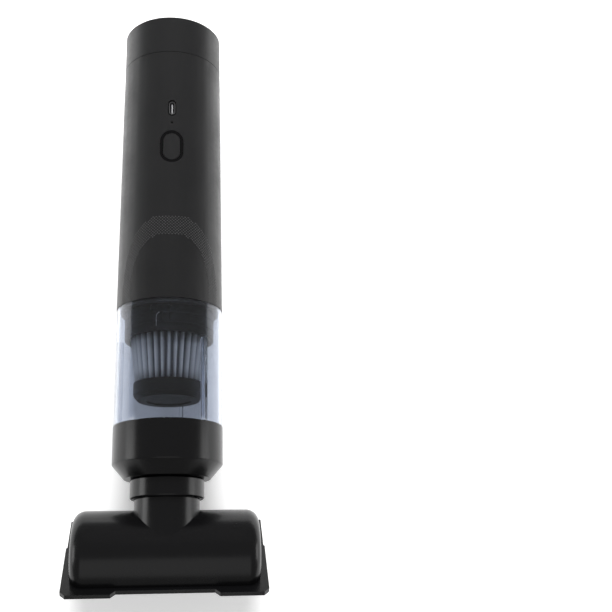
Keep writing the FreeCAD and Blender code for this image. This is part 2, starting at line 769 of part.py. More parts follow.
HOLDER_END = "(cup_length - holder_drop)"
SLOT_TOP = "(cup_length - slot_top_drop)"
RING_RADIUS = f"({HOLDER_BORE} - fit_gap * 2)"
RING_LOW = f"({HOLDER_END} + gasket_thickness)"


def make_filter_holder():
    body = new_body("filter_holder")
    flange = "(cup_length + holder_flange_lead)"
    corners = [(HOLDER_BORE, HOLDER_END), (HOLDER_RADIUS, HOLDER_END),
               (HOLDER_RADIUS, flange), (f"{CASING_BORE} - fit_gap", flange),
               (f"{CASING_BORE} - fit_gap", f"{flange} + holder_flange"),
               (HOLDER_BORE, f"{flange} + holder_flange")]
    revolve(body, outline(body, "XZ_Plane", "filter_holder_outline", corners))
    right = "slot_left + slot_width"
    low = f"{SLOT_TOP} - slot_height"
    end = "(cup_length - slot_bottom_drop)"
    leg = f"({right} - slot_leg_width)"
    slot = outline(body, "XZ_Plane", "bayonet_slot",
                   [("slot_left", low), (leg, low), (leg, end), (right, end),
                    (right, SLOT_TOP), ("slot_left", SLOT_TOP)])
    ring_pattern(body, pocket(body, slot, f"{COLLAR_RADIUS} * 2", reverse=True), "2")
    node(body, "filter_holder")
    turned_tube("cup_seal", HOLDER_RADIUS, f"{CUP_RADIUS} - cup_wall - fit_gap / 2",
                f"{SLOT_TOP} + seal_margin", "cup_length - seal_margin")


def make_filter():
    ring_low, ring_high = RING_LOW, f"({RING_LOW} + filter_ring_length)"
    bore = FILTER_RING_BORE
    body = new_body("filter_top_ring")
    corners = [(bore, ring_low), (RING_RADIUS, ring_low), (RING_RADIUS, ring_high),
               (bore, ring_high)]
    revolve(body, outline(body, "XZ_Plane", "filter_top_ring_outline", corners))
    lugs = [filter_lug(side) for side in (0, 1)]
    node(joined("filter_top_ring_shape", [body] + lugs), "filter_top_ring")

    low = "(end_cap_bottom + end_cap_height)"
    turned("filter_gasket", [("filter_bore_radius", ring_low), (bore, ring_low),
                             (bore, f"{ring_low} + gasket_thickness"),
                             ("filter_bore_radius", f"{ring_low} + gasket_thickness")])
    pleats = new_body("filter_pleats")
    wide = f"({RING_RADIUS} - filter_inset)"
    corners = [("filter_bore_radius", low), (FILTER_RADIUS, low), (wide, ring_low),
               ("filter_bore_radius", ring_low)]
    revolve(pleats, outline(pleats, "XZ_Plane", "filter_pleats_outline", corners))
    fold = pleats.newObject("PartDesign::SubtractiveLoft", "Fold")
    fold.Profile = pleat_fold(pleats, "pleat_fold_low", FILTER_RADIUS, low)
    fold.Sections = [pleat_fold(pleats, "pleat_fold_high", wide, ring_low)]
    fold.Ruled = True
    doc.recompute()
    ring_pattern(pleats, fold, "pleat_count")
    node(pleats, "filter_pleats")
    bevelled = "(end_cap_radius - end_cap_bevel)"
    turned("filter_end_cap", [("0", "end_cap_bottom"), (bevelled, "end_cap_bottom"),
                              ("end_cap_radius", "end_cap_bottom + end_cap_bevel"),
                              ("end_cap_radius", low), ("0", low)])


def pleat_fold(body, name, radius, height):
    """The outline of the gap between two pleats, at one height."""
    mouth = f"{radius} + pleat_depth / 2"
    fold = outline(body, "XY_Plane", name,
                   [(f"{radius} - pleat_depth", "0"), (mouth, "-pleat_gap_width * pleat_mouth_half"),
                    (mouth, "pleat_gap_width * pleat_mouth_half")])
    fold.setExpression("AttachmentOffset.Base.z", bound(height))
    return fold


def filter_lug(side):
    """A lug that locks the filter in its holder's slot, at the slot's closed end."""
    lug = block(f"filter_lug_{side + 1}", "lug_width", "holder_wall + fit_gap * 2 + 1",
                "lug_height")
    low = f"{SLOT_TOP} - (slot_height + lug_height) / 2"
    offset(lug, "-lug_width / 2", f"-({HOLDER_RADIUS} - fit_gap)", low)
    return spun(f"filter_lug_turned_{side + 1}", lug, side)


def spun(name, item, side):
    """A copy of the lug, turned about the axis to its own slot."""
    holder = grouped(name, [item])
    middle = "(slot_left + slot_margin + lug_width / 2)"
    angle = value(f"asin({middle} / {HOLDER_RADIUS})") + 180 * side
    holder.Placement = Placement(Vector(0, 0, 0), Rotation(Vector(0, 0, 1), angle))
    return holder


# --- dust cup, collar and inlet flap ---------------------------------------------------------

DUCT_TOP = "(-duct_top_drop)"


def make_cup():
    body = new_body("dust_cup")
    inner = f"({CUP_RADIUS} - cup_wall)"
    corners = [(inner, "0"), (CUP_RADIUS, "0"), (CUP_RADIUS, "cup_length - seam_gap"),
               (inner, "cup_length - seam_gap")]
    revolve(body, outline(body, "XZ_Plane", "dust_cup_outline", corners))
    ribs = [cup_rib(number) for number in range(SIZES["cup_rib_count"])]
    node(joined("dust_cup_shape", [body] + ribs), "dust_cup")


def cup_rib(number):
    """One of the ribs inside the cup's wall, which keep the dust from spinning."""
    rib = block(f"dust_cup_rib_{number + 1}", "cup_rib_width", "cup_rib_depth + cup_wall / 2",
                "cup_length - holder_drop - cup_rib_depth")
    offset(rib, "-cup_rib_width / 2", f"-({CUP_RADIUS} - cup_wall / 2)", "seam_gap")
    turned_rib = grouped(f"dust_cup_rib_turned_{number + 1}", [rib])
    turned_rib.Placement = Placement(Vector(0, 0, 0), Rotation(Vector(0, 0, 1), 0))
    angle = f"(cup_rib_angle + 360 / cup_rib_count * {number}) * 1 deg"
    turned_rib.setExpression("Placement.Rotation.Angle", bound(angle))
    return turned_rib


def make_collar():
    nose = "(-collar_height - collar_bevel_height)"
    spout = f"({nose} - nozzle_length)"
    groove = f"({nose} - o_ring_drop)"
    floor = f"({nose} + collar_wall)"
    inner = f"({CUP_RADIUS} - cup_wall)"
    corners = [(COLLAR_RADIUS, "0"), (COLLAR_RADIUS, "-collar_height"),
               (COLLAR_MOUTH, nose), ("nozzle_radius", nose),
               ("nozzle_radius", groove), ("nozzle_radius - o_ring_depth", groove),
               ("nozzle_radius - o_ring_depth", f"{groove} - o_ring_width"),
               ("nozzle_radius", f"{groove} - o_ring_width"), ("nozzle_radius", spout),
               (NOZZLE_BORE, spout), (NOZZLE_BORE, DUCT_TOP),
               ("nozzle_radius", DUCT_TOP), ("nozzle_radius", floor),
               (f"{COLLAR_MOUTH} - 1", floor), (inner, "-collar_height + 1"), (inner, "0")]
    turned("cup_collar", corners)
    turned_tube("nozzle_o_ring", "nozzle_radius - o_ring_depth", "nozzle_radius + fit_gap / 2",
                f"{groove} - o_ring_width", groove)


def make_flap():
    pin_height = f"({DUCT_TOP} + flap_knuckle_radius)"
    across = Rotation(Vector(0, 1, 0), 90)
    disc = cylinder("flap_disc", FLAP_RADIUS, "flap_thickness")
    offset(disc, "0", "0", f"{DUCT_TOP} + fit_gap")
    arm = block("flap_arm", "flap_knuckle_length", f"{FLAP_PIN_OFFSET} - {FLAP_RADIUS} * flap_arm_reach",
                "flap_thickness")
    offset(arm, "-flap_knuckle_length / 2", f"-{FLAP_PIN_OFFSET}", f"{DUCT_TOP} + fit_gap")
    knuckle = cylinder("flap_knuckle", "flap_knuckle_radius", "flap_knuckle_length")
    offset(knuckle, "-flap_knuckle_length / 2", f"-{FLAP_PIN_OFFSET}", pin_height, across)
    bore = cylinder("flap_knuckle_bore", "flap_pin_radius + pin_clearance",
                    "flap_knuckle_length + 2")
    offset(bore, "-flap_knuckle_length / 2 - 1", f"-{FLAP_PIN_OFFSET}", pin_height, across)
    whole = joined("flap_whole", [disc, arm, knuckle])
    node(cut("inlet_flap_shape", whole, bore), "inlet_flap")

    pin = cylinder("flap_pin_rod", "flap_pin_radius", "flap_pin_length")
    offset(pin, "-flap_pin_length / 2", f"-{FLAP_PIN_OFFSET}", pin_height, across)
    node(grouped("flap_pin_shape", [pin]), "flap_pin")

    ears = []
    width = "(flap_pin_length - flap_knuckle_length) / 2 - fit_gap * 2"
    for side in (-1, 1):
        ear = block(f"flap_ear_{side + 2}", width, "flap_ear_depth",
                    "flap_ear_height")
        start = "flap_knuckle_length / 2 + fit_gap * 2" if side > 0 else "-flap_pin_length / 2"
        offset(ear, start, f"-({FLAP_PIN_OFFSET} + flap_ear_setout)",
               f"{pin_height} - flap_ear_drop")
        ears.append(ear)
    hole = cylinder("flap_ear_bore", "flap_pin_radius", "flap_pin_length + 2")
    offset(hole, "-flap_pin_length / 2 - 1", f"-{FLAP_PIN_OFFSET}", pin_height, across)
    duct = cylinder("flap_ear_duct", "nozzle_radius", "collar_height * 2")
    offset(duct, "0", "0", "-collar_height * 2")
    drilled = cut("flap_ears_drilled", joined("flap_ears", ears), hole)
    node(cut("flap_brackets_shape", drilled, duct), "flap_brackets")


# --- socket ring and floor head --------------------------------------------------------------

RING_TOP = "(-collar_height - collar_bevel_height - fit_gap)"
RING_END = "(-collar_height - collar_bevel_height - ring_height)"
LIP_TOP = f"({RING_END} + ring_lip)"


def make_socket_ring():
    bore = "(nozzle_radius + fit_gap * 1.5)"
    lip = f"({SPIGOT_RADIUS} + swivel_clearance)"
    turned("socket_ring", [(bore, RING_TOP), (f"{RING_OUTER} - ring_top_bevel", RING_TOP),
                           (RING_OUTER, f"{RING_TOP} - ring_top_bevel"),
                           (RING_OUTER, f"{RING_END} + ring_bottom_bevel"),
                           (f"{RING_OUTER} - ring_bottom_bevel", RING_END), (lip, RING_END),
                           (lip, LIP_TOP), (bore, LIP_TOP)])


def along_axis(item, height):
    """Puts a cylinder of the head's frame on the machine's axis, starting at a height."""
    deep = f"({height} + head_drop) * sin(head_tilt * 1 deg) - head_back * cos(head_tilt * 1 deg)"
    tall = f"({height} + head_drop) * cos(head_tilt * 1 deg) + head_back * sin(head_tilt * 1 deg)"
    turn = Rotation(Vector(1, 0, 0), -value("head_tilt"))
    return offset(item, "0", deep, tall, turn)


def half_dome(name, radius, length, fillet):
    """A half round bar across the head, with rounded ends, standing on the base plane."""
    body = new_body(name)
    sketch = new_sketch(body, "YZ_Plane", f"{name}_section")
    size = value(radius)
    turn = math.pi
    centre = Vector(0, 0, 0)
    sketch.addGeometry(Part.ArcOfCircle(Part.Circle(centre, Vector(0, 0, 1), size), 0, turn), False)
    sketch.addGeometry(Part.LineSegment(Vector(-size, 0, 0), Vector(size, 0, 0)), False)
    sketch.addConstraint(Sketcher.Constraint("Coincident", 0, 2, 1, 1))
    sketch.addConstraint(Sketcher.Constraint("Coincident", 0, 1, 1, 2))
    sketch.addConstraint(Sketcher.Constraint("Coincident", 0, 3, -1, 1))
    sketch.addConstraint(Sketcher.Constraint("PointOnObject", 1, 1, -1))
    held = sketch.addConstraint(Sketcher.Constraint("Radius", 0, size))
    sketch.setExpression(f"Constraints[{held}]", bound(radius))
    bar = pad(body, sketch, length, middle=True)
    doc.recompute()
    ends = []
    for number, edge in enumerate(bar.Shape.Edges, start=1):
        if edge.Curve.TypeId == "Part::GeomCircle":
            ends.append(f"Edge{number}")
    rounding = body.newObject("PartDesign::Fillet", "Fillet")
    rounding.Base = (bar, ends)
    bind(rounding, Radius=fillet)
    return body


def at_corners(name, radius, height, low):
    """Four cylinders of the head, one at each screw."""
    items = []
    for across in ("", "-"):
        for deep in ("", "-"):
            item = cylinder(f"{name}_{len(items) + 1}", radius, height)
            offset(item, f"{across}head_screw_side", f"{deep}head_screw_depth", low)
            items.append(item)
    return items


def make_head_shell():
    outer = half_dome("dome_outer", "dome_radius", "dome_length", "dome_fillet")
    inner = half_dome("dome_inner", "dome_radius - dome_wall", "dome_length - dome_wall * 2",
                      "dome_fillet - dome_wall")
    neck_height = f"({RING_END} - seam_gap)"
    neck = along_axis(cylinder("neck_outer", NECK_RADIUS, f"{neck_height} + head_drop"),
                      "-head_drop")
    spigot = along_axis(cylinder("neck_spigot", SPIGOT_RADIUS, "ring_lip + spigot_root * 2"),
                        f"{RING_END} - spigot_root")
    bead_low = f"({LIP_TOP} + fit_gap / 2)"
    bead = along_axis(cylinder("neck_bead", "nozzle_radius - fit_gap", "bead_height"), bead_low)
    below = block("below_base", "plate_width", "plate_width", "plate_width")
    offset(below, "-plate_width / 2", "-plate_width / 2", "-plate_width")
    whole = cut("head_outside", joined("head_fused", [outer, neck, spigot, bead]), below)
    bore = along_axis(cylinder("neck_bore", f"{SPIGOT_RADIUS} - neck_wall",
                               "head_drop - collar_height"), "-head_drop + dome_wall")
    hollow = cut("head_hollow", whole, joined("head_inside", [inner, bore]))
    bosses = joined("head_bosses", at_corners("head_boss", "head_boss_radius",
                                              "head_boss_height", "0"))
    pilots = joined("head_pilots", at_corners("head_pilot", "head_screw_radius",
                                              "head_screw_length", "0"))
    solid = joined("head_with_bosses", [hollow, bosses])
    node(cut("head_shell_shape", solid, pilots), "head_shell", tilt_head)


def make_base_plate():
    body = new_body("head_base_plate")
    half_width, half_depth = "plate_width / 2", "plate_depth / 2"
    relief = f"-{half_depth} + plate_relief_depth"
    corner = "plate_corner"
    heel = (f"(({COLLAR_RADIUS} - head_back - table_gap"
            " - cos(head_tilt * 1 deg) * plate_thickness) / sin(head_tilt * 1 deg))")
    narrow = f"({half_width} - plate_step)"
    corners = [(f"{half_width} - {corner}", f"-{half_depth}"),
               (half_width, f"-{half_depth} + {corner}"), (half_width, "plate_step_setback"),
               (narrow, "plate_step_setback + plate_step"), (narrow, half_depth),
               ("heel_width / 2 + heel_slope", half_depth), ("heel_width / 2", heel),
               ("-heel_width / 2", heel), ("-heel_width / 2 - heel_slope", half_depth),
               (f"-{narrow}", half_depth), (f"-{narrow}", "plate_step_setback + plate_step"),
               (f"-{half_width}", "plate_step_setback"),
               (f"-{half_width}", f"-{half_depth} + {corner}"),
               (f"-{half_width} + {corner}", f"-{half_depth}"),
               ("-plate_relief_width / 2 - plate_relief_depth", f"-{half_depth}"),
               ("-plate_relief_width / 2", relief), ("plate_relief_width / 2", relief),
               ("plate_relief_width / 2 + plate_relief_depth", f"-{half_depth}")]
    pad(body, outline(body, "XY_Plane", "base_plate_outline", corners), "plate_thickness",
        reverse=True)
    mouth = outline(body, "XY_Plane", "mouth", chamfered_box("mouth_width", "mouth_depth",
                                                             "mouth_corner"))
    pocket(body, mouth, "plate_thickness * 2", middle=False)
    seats = at_corners("screw_seat", "head_screw_head_radius + fit_gap / 2",
                       "head_screw_head_height", "-plate_thickness")
    holes = at_corners("screw_hole", "head_screw_radius + fit_gap / 2", "plate_thickness",
                       "-plate_thickness")
    grooves = [lint_block(f"lint_groove{sign}", sign, "lint_strip_height + lint_strip_inset", "0")
               for sign in ("-", "")]
    removed = joined("base_plate_holes", seats + holes + grooves)
    drilled = cut("base_plate_shape", body, removed)
    node(drilled, "head_base_plate", tilt_head)

    for name, sign in (("lint_strip_front", "-"), ("lint_strip_rear", "")):
        strip = lint_block(f"{name}_block", sign, "lint_strip_height", "lint_strip_inset")
        node(grouped(f"{name}_shape", [strip]), name, tilt_head)

    heads = at_corners("head_screw_head", "head_screw_head_radius", "head_screw_head_height",
                       "-plate_thickness")
    shanks = at_corners("head_screw_shank", "head_screw_radius",
                        "head_screw_length + plate_thickness - head_screw_head_height",
                        "-plate_thickness + head_screw_head_height")
    node(joined("head_screws_shape", heads + shanks), "head_screws", tilt_head)


def lint_block(name, sign, height, inset):
    """A bar along one long side of the mouth, set into the plate's underside."""
    bar = block(name, "mouth_width", "lint_strip_depth", height)
    middle = "(mouth_depth / 2 + lint_strip_depth)"
    return offset(bar, "-mouth_width / 2", f"{sign}{middle} - lint_strip_depth / 2",
                  f"-plate_thickness + {inset}")


def chamfered_box(width, depth, corner):
    right, back = f"{width} / 2", f"{depth} / 2"
    return [(f"{right} - {corner}", f"-{back}"), (right, f"-{back} + {corner}"),
            (right, f"{back} - {corner}"), (f"{right} - {corner}", back),
            (f"-{right} + {corner}", back), (f"-{right}", f"{back} - {corner}"),
            (f"-{right}", f"-{back} + {corner}"), (f"-{right} + {corner}", f"-{back}")]


def check_document():
    """Stops when any object failed or any sub-part is missing its solid."""
    doc.recompute()
    for item in doc.Objects:
        if "Invalid" in item.State or "Error" in item.State:
            raise ValueError(f"{item.Name} failed: {item.State}")
    for name, item in NODES.items():
        shape = item.Shape
        if shape.isNull() or not shape.isValid() or not shape.Solids:
            raise ValueError(f"{name} has no valid solid")


make_casing()
make_rear_cap()
make_controls()
make_battery_pack()
make_motor()
make_impeller()
make_fan_case()
make_filter_holder()
make_filter()
make_cup()
make_collar()
make_flap()
make_socket_ring()
make_head_shell()
make_base_plate()
check_document()

os.makedirs("parts", exist_ok=True)
for name, item in NODES.items():
    item.Shape.exportStep(f"parts/{name}.step")
    print(name, len(item.Shape.Solids), round(item.Shape.Volume, 1))
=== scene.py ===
"""A slim cordless handheld vacuum: looks built round its fixed frame of parts."""

import json
import math

import bmesh
import bpy
from bpy.props import FloatProperty, FloatVectorProperty, IntProperty, PointerProperty
from mathutils import Matrix, Vector


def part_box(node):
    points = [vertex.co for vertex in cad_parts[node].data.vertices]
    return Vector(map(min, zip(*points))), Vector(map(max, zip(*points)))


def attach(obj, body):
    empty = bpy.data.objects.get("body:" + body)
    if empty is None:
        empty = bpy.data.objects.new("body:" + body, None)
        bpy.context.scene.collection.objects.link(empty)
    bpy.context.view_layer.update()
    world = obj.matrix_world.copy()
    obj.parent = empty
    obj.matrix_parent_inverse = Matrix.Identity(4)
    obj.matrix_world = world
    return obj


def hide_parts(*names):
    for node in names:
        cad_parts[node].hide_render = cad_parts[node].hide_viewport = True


bl_info = {
    "name": "Handheld vacuum",
    "version": (1, 0, 0),
    "blender": (4, 5, 0),
    "location": "3D View > Sidebar > Vacuum",
    "description": "Builds the visible pieces and finishes of a slim handheld vacuum",
    "category": "Add Mesh",
}

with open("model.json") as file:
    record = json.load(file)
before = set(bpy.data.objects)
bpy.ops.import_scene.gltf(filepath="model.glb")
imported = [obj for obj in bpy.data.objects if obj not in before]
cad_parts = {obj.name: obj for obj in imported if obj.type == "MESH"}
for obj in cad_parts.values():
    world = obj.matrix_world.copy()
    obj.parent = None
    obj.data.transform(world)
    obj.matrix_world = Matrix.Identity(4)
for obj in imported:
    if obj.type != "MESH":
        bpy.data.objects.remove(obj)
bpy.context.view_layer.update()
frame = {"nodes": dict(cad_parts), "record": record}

MM = 0.001

# Edges that turn more than this are rounded, in so many steps, and still sharp ones are split.
EDGE_ANGLE = math.radians(33)
EDGE_SEGMENTS = 3
SHARP_ANGLE = math.radians(50)

# The grip's studs: four-sided, sunk a little into the casing, and flattened to lozenges.
STUD_FOOT_RADIUS = 0.82 * MM
STUD_TOP_RADIUS = 0.40 * MM
STUD_SUNK = 0.06 * MM
STUD_ACROSS = 0.86
STUD_ALONG = 0.70

# How square the outer and the inner edge of the grip's arch are, and the inner edge's width.
ARCH_OUTER_POWER = 2.2
ARCH_INNER_POWER = 2.4
ARCH_INNER_SHARE = 0.755

# The raised catch edge on the filter's holder, coloured light grey as a painted highlight: angles
# round it, and rises along it.
CATCH_SIDE_ANGLE = -0.28
CATCH_TOP_ANGLE = -0.18
CATCH_ANGLE_STEP = 0.022
CATCH_FOOT = 3.0 * MM
CATCH_SHOULDER = 9.0 * MM
CATCH_CORNER = 3.2 * MM
CATCH_STRAIGHT_STEPS = 12
CATCH_CORNER_STEPS = 8
CATCH_HALF_WIDTH = 0.14 * MM
CATCH_RISE = 0.12 * MM
CATCH_SECTION = ((-1.0, -0.05), (-0.6, 0.12), (0.6, 0.12), (1.0, -0.05))

# The beads round the holder: how far up they stand, and their section.
BEAD_RISES = (5.3 * MM, 11.9 * MM)
BEAD_SECTION = ((-0.1 * MM, 0.0), (0.3 * MM, 0.2 * MM), (0.3 * MM, 0.5 * MM),
                (-0.1 * MM, 0.7 * MM))

# The end cap: its dished face, its sloping rim, and the small step above the rim.
CAP_DISH_DEPTH = 0.8 * MM
CAP_DISH_FLOOR = 0.62
CAP_DISH_MOUTH = 0.66
CAP_RIM_INSET = 2.6 * MM
CAP_RIM_HEIGHT = 2.4 * MM
CAP_STEP_INSET = 0.35 * MM
CAP_STEP_LOW = 3.1 * MM
CAP_STEP_HIGH = 3.3 * MM
CAP_BACK_EASE = 0.2 * MM
CAP_BACK_INSET = 0.6 * MM
CAP_EDGE = 0.35 * MM
CAP_EDGE_ANGLE = math.radians(12)

# How far each kept shape's moulded edges are rounded, and from which angle on the head.
BEZEL_EDGE = 0.55 * MM
TRIM_EDGE = 0.3 * MM
PORT_SHELL_EDGE = 0.09 * MM
BUTTON_EDGE = 0.7 * MM
CUP_EDGE = 0.3 * MM
COLLAR_EDGE = 0.5 * MM
RING_EDGE = 0.4 * MM
HOLDER_EDGE = 0.35 * MM
HEAD_EDGE = 0.35 * MM
HEAD_EDGE_ANGLE = math.radians(28)
PLATE_EDGE = 0.6 * MM

# The folded paper: clear of its neighbours at both ends, and slightly wavering.
PAPER_WIDE_INSET = 0.15 * MM
PAPER_NARROW_INSET = 0.9 * MM
PAPER_STEPS_PER_FOLD = 10
PAPER_LEVELS = (0.0, 0.25, 0.5, 0.75, 1.0)
PAPER_WAVER = 0.12 * MM
FOLD_SHARPNESS = 0.85


# --- places read from the frame --------------------------------------------------------------

def middle(node):
    low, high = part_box(node)
    return (low + high) / 2


def radius_of(node):
    """Half a turned node's width across X."""
    low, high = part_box(node)
    return (high.x - low.x) / 2


AXIS_Z = middle("cup_collar").z
CUP_SEAM_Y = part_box("dust_cup")[0].y
CASING_FRONT_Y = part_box("main_housing")[0].y
CASING_REAR_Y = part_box("main_housing")[1].y
CASING_FRONT_RADIUS = radius_of("main_housing")
CASING_REAR_RADIUS = radius_of("rear_cap")


def casing_radius(y):
    """The tapered casing's outer radius at a place along it."""
    share = (y - CASING_FRONT_Y) / (CASING_REAR_Y - CASING_FRONT_Y)
    return CASING_FRONT_RADIUS + (CASING_REAR_RADIUS - CASING_FRONT_RADIUS) * share


def on_casing(arc, y, lift=0.0):
    """A point over the casing's front, an arc length round it from its top line."""
    radius = casing_radius(y)
    angle = arc / radius
    reach = radius + lift
    return Vector((reach * math.sin(angle), y, AXIS_Z + reach * math.cos(angle)))


# --- settings --------------------------------------------------------------------------------

def colour(name, description, default):
    return FloatVectorProperty(name=name, description=description, default=default,
                               subtype="COLOR", size=3, min=0.0, max=1.0)


def length(name, description, default):
    return FloatProperty(name=name, description=description, default=default,
                         unit="LENGTH", subtype="DISTANCE", min=0.0)


class VacuumCasingSettings(bpy.types.PropertyGroup):
    casing: colour("Casing", "Fine matt black of the handle and rear cap", (0.0080, 0.0080, 0.0084))
    satin: colour("Satin", "Satin black of the collar, neck and head", (0.0030, 0.0030, 0.0033))
    # The grip's studs are painted a much lighter black than the casing: a painted highlight for the
    # light that their slopes catch.
    grip: colour("Grip", "Slightly sheeny black of the grip's studs", (0.060, 0.060, 0.061))
    gloss: colour("Gloss", "Gloss black of the button's bezel", (0.0012, 0.0012, 0.0014))
    edge: length("Edge", "Rounding of the moulded edges", 0.4 * MM)
    grip_pitch: length("Grip pitch", "Distance between the grip's studs", 2.1 * MM)
    grip_row: length("Grip rows", "Distance between the grip's rows of studs", 1.0 * MM)
    grip_height: length("Grip height", "How far the grip's studs stand up", 0.32 * MM)
    grip_band: length("Grip band", "Width of the arch at its top", 14 * MM)
    grip_reach: length("Grip reach", "Length of the arched grip from the cup's seam", 57 * MM)
    grip_half_width: length("Grip half width", "Half the arch's width round the casing",
                            37.5 * MM)


class VacuumCupSettings(bpy.types.PropertyGroup):
    tint: colour("Tint", "Smoky tint of the clear cup", (0.60, 0.64, 0.72))
    paper: colour("Filter paper", "Colour of the pleated filter", (0.80, 0.81, 0.82))
    pleats: IntProperty(name="Pleats", description="Folds round the filter", default=32, min=8)
    pleat_depth: length("Pleat depth", "How deep the filter's folds are", 4.6 * MM)
    paper_thickness: length("Paper thickness", "Thickness of the filter's sheet", 0.35 * MM)


class VacuumStageSettings(bpy.types.PropertyGroup):
    focal: FloatProperty(name="Lens", description="Focal length of the camera, in millimetres",
                         default=57.02, min=1.0)
    pitch: FloatProperty(name="Pitch", description="How far the camera looks towards the cap",
                         default=math.radians(17.65), unit="ROTATION", subtype="ANGLE")
    yaw: FloatProperty(name="Yaw", description="How far the camera looks to the side",
                       default=math.radians(-6.58), unit="ROTATION", subtype="ANGLE")
    roll: FloatProperty(name="Roll", description="Turn of the camera about its line of sight",
                        default=math.radians(-1.30), unit="ROTATION", subtype="ANGLE")
    side: length("Side", "How far the camera stands to the right of the axis", 3.52 * MM)
    height: length("Height", "How far the camera stands above the axis", 619.79 * MM)
    past_seam: length("Past the seam", "How far past the cup's seam the camera stands",
                      115.6 * MM)
    shift: FloatProperty(name="Shift", description="Sideways shift of the picture", default=0.04)
    floor: colour("Floor", "Plain pale floor", (0.90, 0.90, 0.90))
    light: FloatProperty(name="Light", description="Strength of the soft studio light",
                         default=1.0, min=0.0)


# --- mesh helpers ----------------------------------------------------------------------------

def link_mesh(name, mesh):
    piece = bpy.data.objects.new(name, mesh)
    bpy.context.scene.collection.objects.link(piece)
    return piece


def finish_mesh(bm, name, sharp=math.radians(32), smooth=True):
    """Turns a finished bmesh into a piece at the origin, with its faces pointing outwards."""
    bmesh.ops.remove_doubles(bm, verts=bm.verts, dist=1e-6)
    bmesh.ops.recalc_face_normals(bm, faces=bm.faces)
    mesh = bpy.data.meshes.new(name)
    bm.to_mesh(mesh)
    bm.free()
    if smooth:
        mesh.shade_smooth()
        mesh.set_sharp_from_angle(angle=sharp)
    return link_mesh(name, mesh)


def merged_copy(node):
    """A copy of a node's mesh, its loose triangles joined into whole faces."""
    bm = bmesh.new()
    bm.from_mesh(frame["nodes"][node].data)
    bmesh.ops.remove_doubles(bm, verts=bm.verts, dist=0.002 * MM)
    bmesh.ops.dissolve_limit(bm, angle_limit=math.radians(0.5), verts=bm.verts, edges=bm.edges)
    return bm


def round_edges(bm, width, angle=EDGE_ANGLE):
    """Rounds every edge whose faces meet at more than the angle."""
    edges = [edge for edge in bm.edges
             if edge.is_manifold and edge.calc_face_angle() > angle]
    bmesh.ops.bevel(bm, geom=edges, offset=width, offset_type="OFFSET", affect="EDGES",
                    segments=EDGE_SEGMENTS, profile=0.5, material=-1, clamp_overlap=True)


def weigh_normals(piece):
    """Keeps flat faces flat beside their rounded edges."""
    modifier = piece.modifiers.new("Face shading", "WEIGHTED_NORMAL")
    modifier.keep_sharp = True
    modifier.weight = 80
    return piece


def softened(name, node, width, angle=EDGE_ANGLE):
    """A node's shape with its moulded edges rounded."""
    bm = merged_copy(node)
    round_edges(bm, width, angle)
    return weigh_normals(finish_mesh(bm, name, SHARP_ANGLE))


def lathe(profile, steps=144):
    """A closed outline of (radius, y) points, spun round the vacuum's long axis."""
    bm = bmesh.new()
    points = [bm.verts.new((radius, y, AXIS_Z)) for radius, y in profile]
    edges = [bm.edges.new(pair) for pair in zip(points, points[1:] + points[:1])]
    bmesh.ops.spin(bm, geom=points + edges, cent=(0.0, 0.0, AXIS_Z), axis=(0.0, 1.0, 0.0),
                   dvec=(0.0, 0.0, 0.0), angle=math.tau, steps=steps, use_merge=True,
                   use_duplicate=False)
    bmesh.ops.remove_doubles(bm, verts=bm.verts, dist=0.001 * MM)
    bmesh.ops.recalc_face_normals(bm, faces=bm.faces)
    return bm


def place(piece, body, slot, *nodes):
    """Attaches the piece to what it rides on, and hides the frame's nodes that it stands for; the
    slot is not used.
    """
    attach(piece, body)
    if nodes:
        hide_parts(*nodes)
    return piece


def dress(piece, material):
    piece.data.materials.clear()
    piece.data.materials.append(material)
    return piece


# --- shared effects and finishes -------------------------------------------------------------

# How the grain's and the handling marks' two layers of noise are scaled and shared out.
COARSE_GRAIN_SCALE = 0.37
FINE_GRAIN_SHARE = 0.65
SPECK_SCALE = 9.0
PATCH_SHARE = 0.7
MARKS_SCALE = 40.0
CLEAR_MARKS_SCALE = 55.0
CLEAR_IOR = 1.49
CLEAR_SHINE = 0.35
PAPER_ROUGHNESS = 0.88

def new_group(name, inputs, outputs):
    """A shader node group with its named sockets, and its input and output nodes."""
    tree = bpy.data.node_groups.new(name, "ShaderNodeTree")
    for label, kind, default in inputs:
        socket = tree.interface.new_socket(name=label, in_out="INPUT", socket_type=kind)
        if default is not None:
            socket.default_value = default
    for label, kind in outputs:
        tree.interface.new_socket(name=label, in_out="OUTPUT", socket_type=kind)
    return tree, tree.nodes.new("NodeGroupInput"), tree.nodes.new("NodeGroupOutput")


def noise(tree, vector, scale, detail=3.0, roughness=0.5):
    node = tree.nodes.new("ShaderNodeTexNoise")
    node.inputs["Detail"].default_value = detail
    node.inputs["Roughness"].default_value = roughness
    tree.links.new(vector, node.inputs["Vector"])
    set_or_link(tree, node.inputs["Scale"], scale)
    return node.outputs["Fac"]


def set_or_link(tree, socket, source):
    if isinstance(source, bpy.types.NodeSocket):
        tree.links.new(source, socket)
    else:
        socket.default_value = source


def reckon(tree, operation, first, second):
    node = tree.nodes.new("ShaderNodeMath")
    node.operation = operation
    set_or_link(tree, node.inputs[0], first)
    set_or_link(tree, node.inputs[1], second)
    return node.outputs[0]


def spread(tree, value, low, high, to_low=0.0, to_high=1.0):
    """The value's stretch from low to high, spread over another range."""
    node = tree.nodes.new("ShaderNodeMapRange")
    tree.links.new(value, node.inputs["Value"])
    for label, number in (("From Min", low), ("From Max", high),
                          ("To Min", to_low), ("To Max", to_high)):
        set_or_link(tree, node.inputs[label], number)
    return node.outputs["Result"]


def blend_colours(tree, factor, first, second):
    node = tree.nodes.new("ShaderNodeMix")
    node.data_type = "RGBA"
    set_or_link(tree, node.inputs["Factor"], factor)
    for label, tint in (("A", first), ("B", second)):
        socket = next(item for item in node.inputs
                      if item.name == label and item.type == "RGBA")
        set_or_link(tree, socket, tint)
    return next(item for item in node.outputs if item.type == "RGBA")


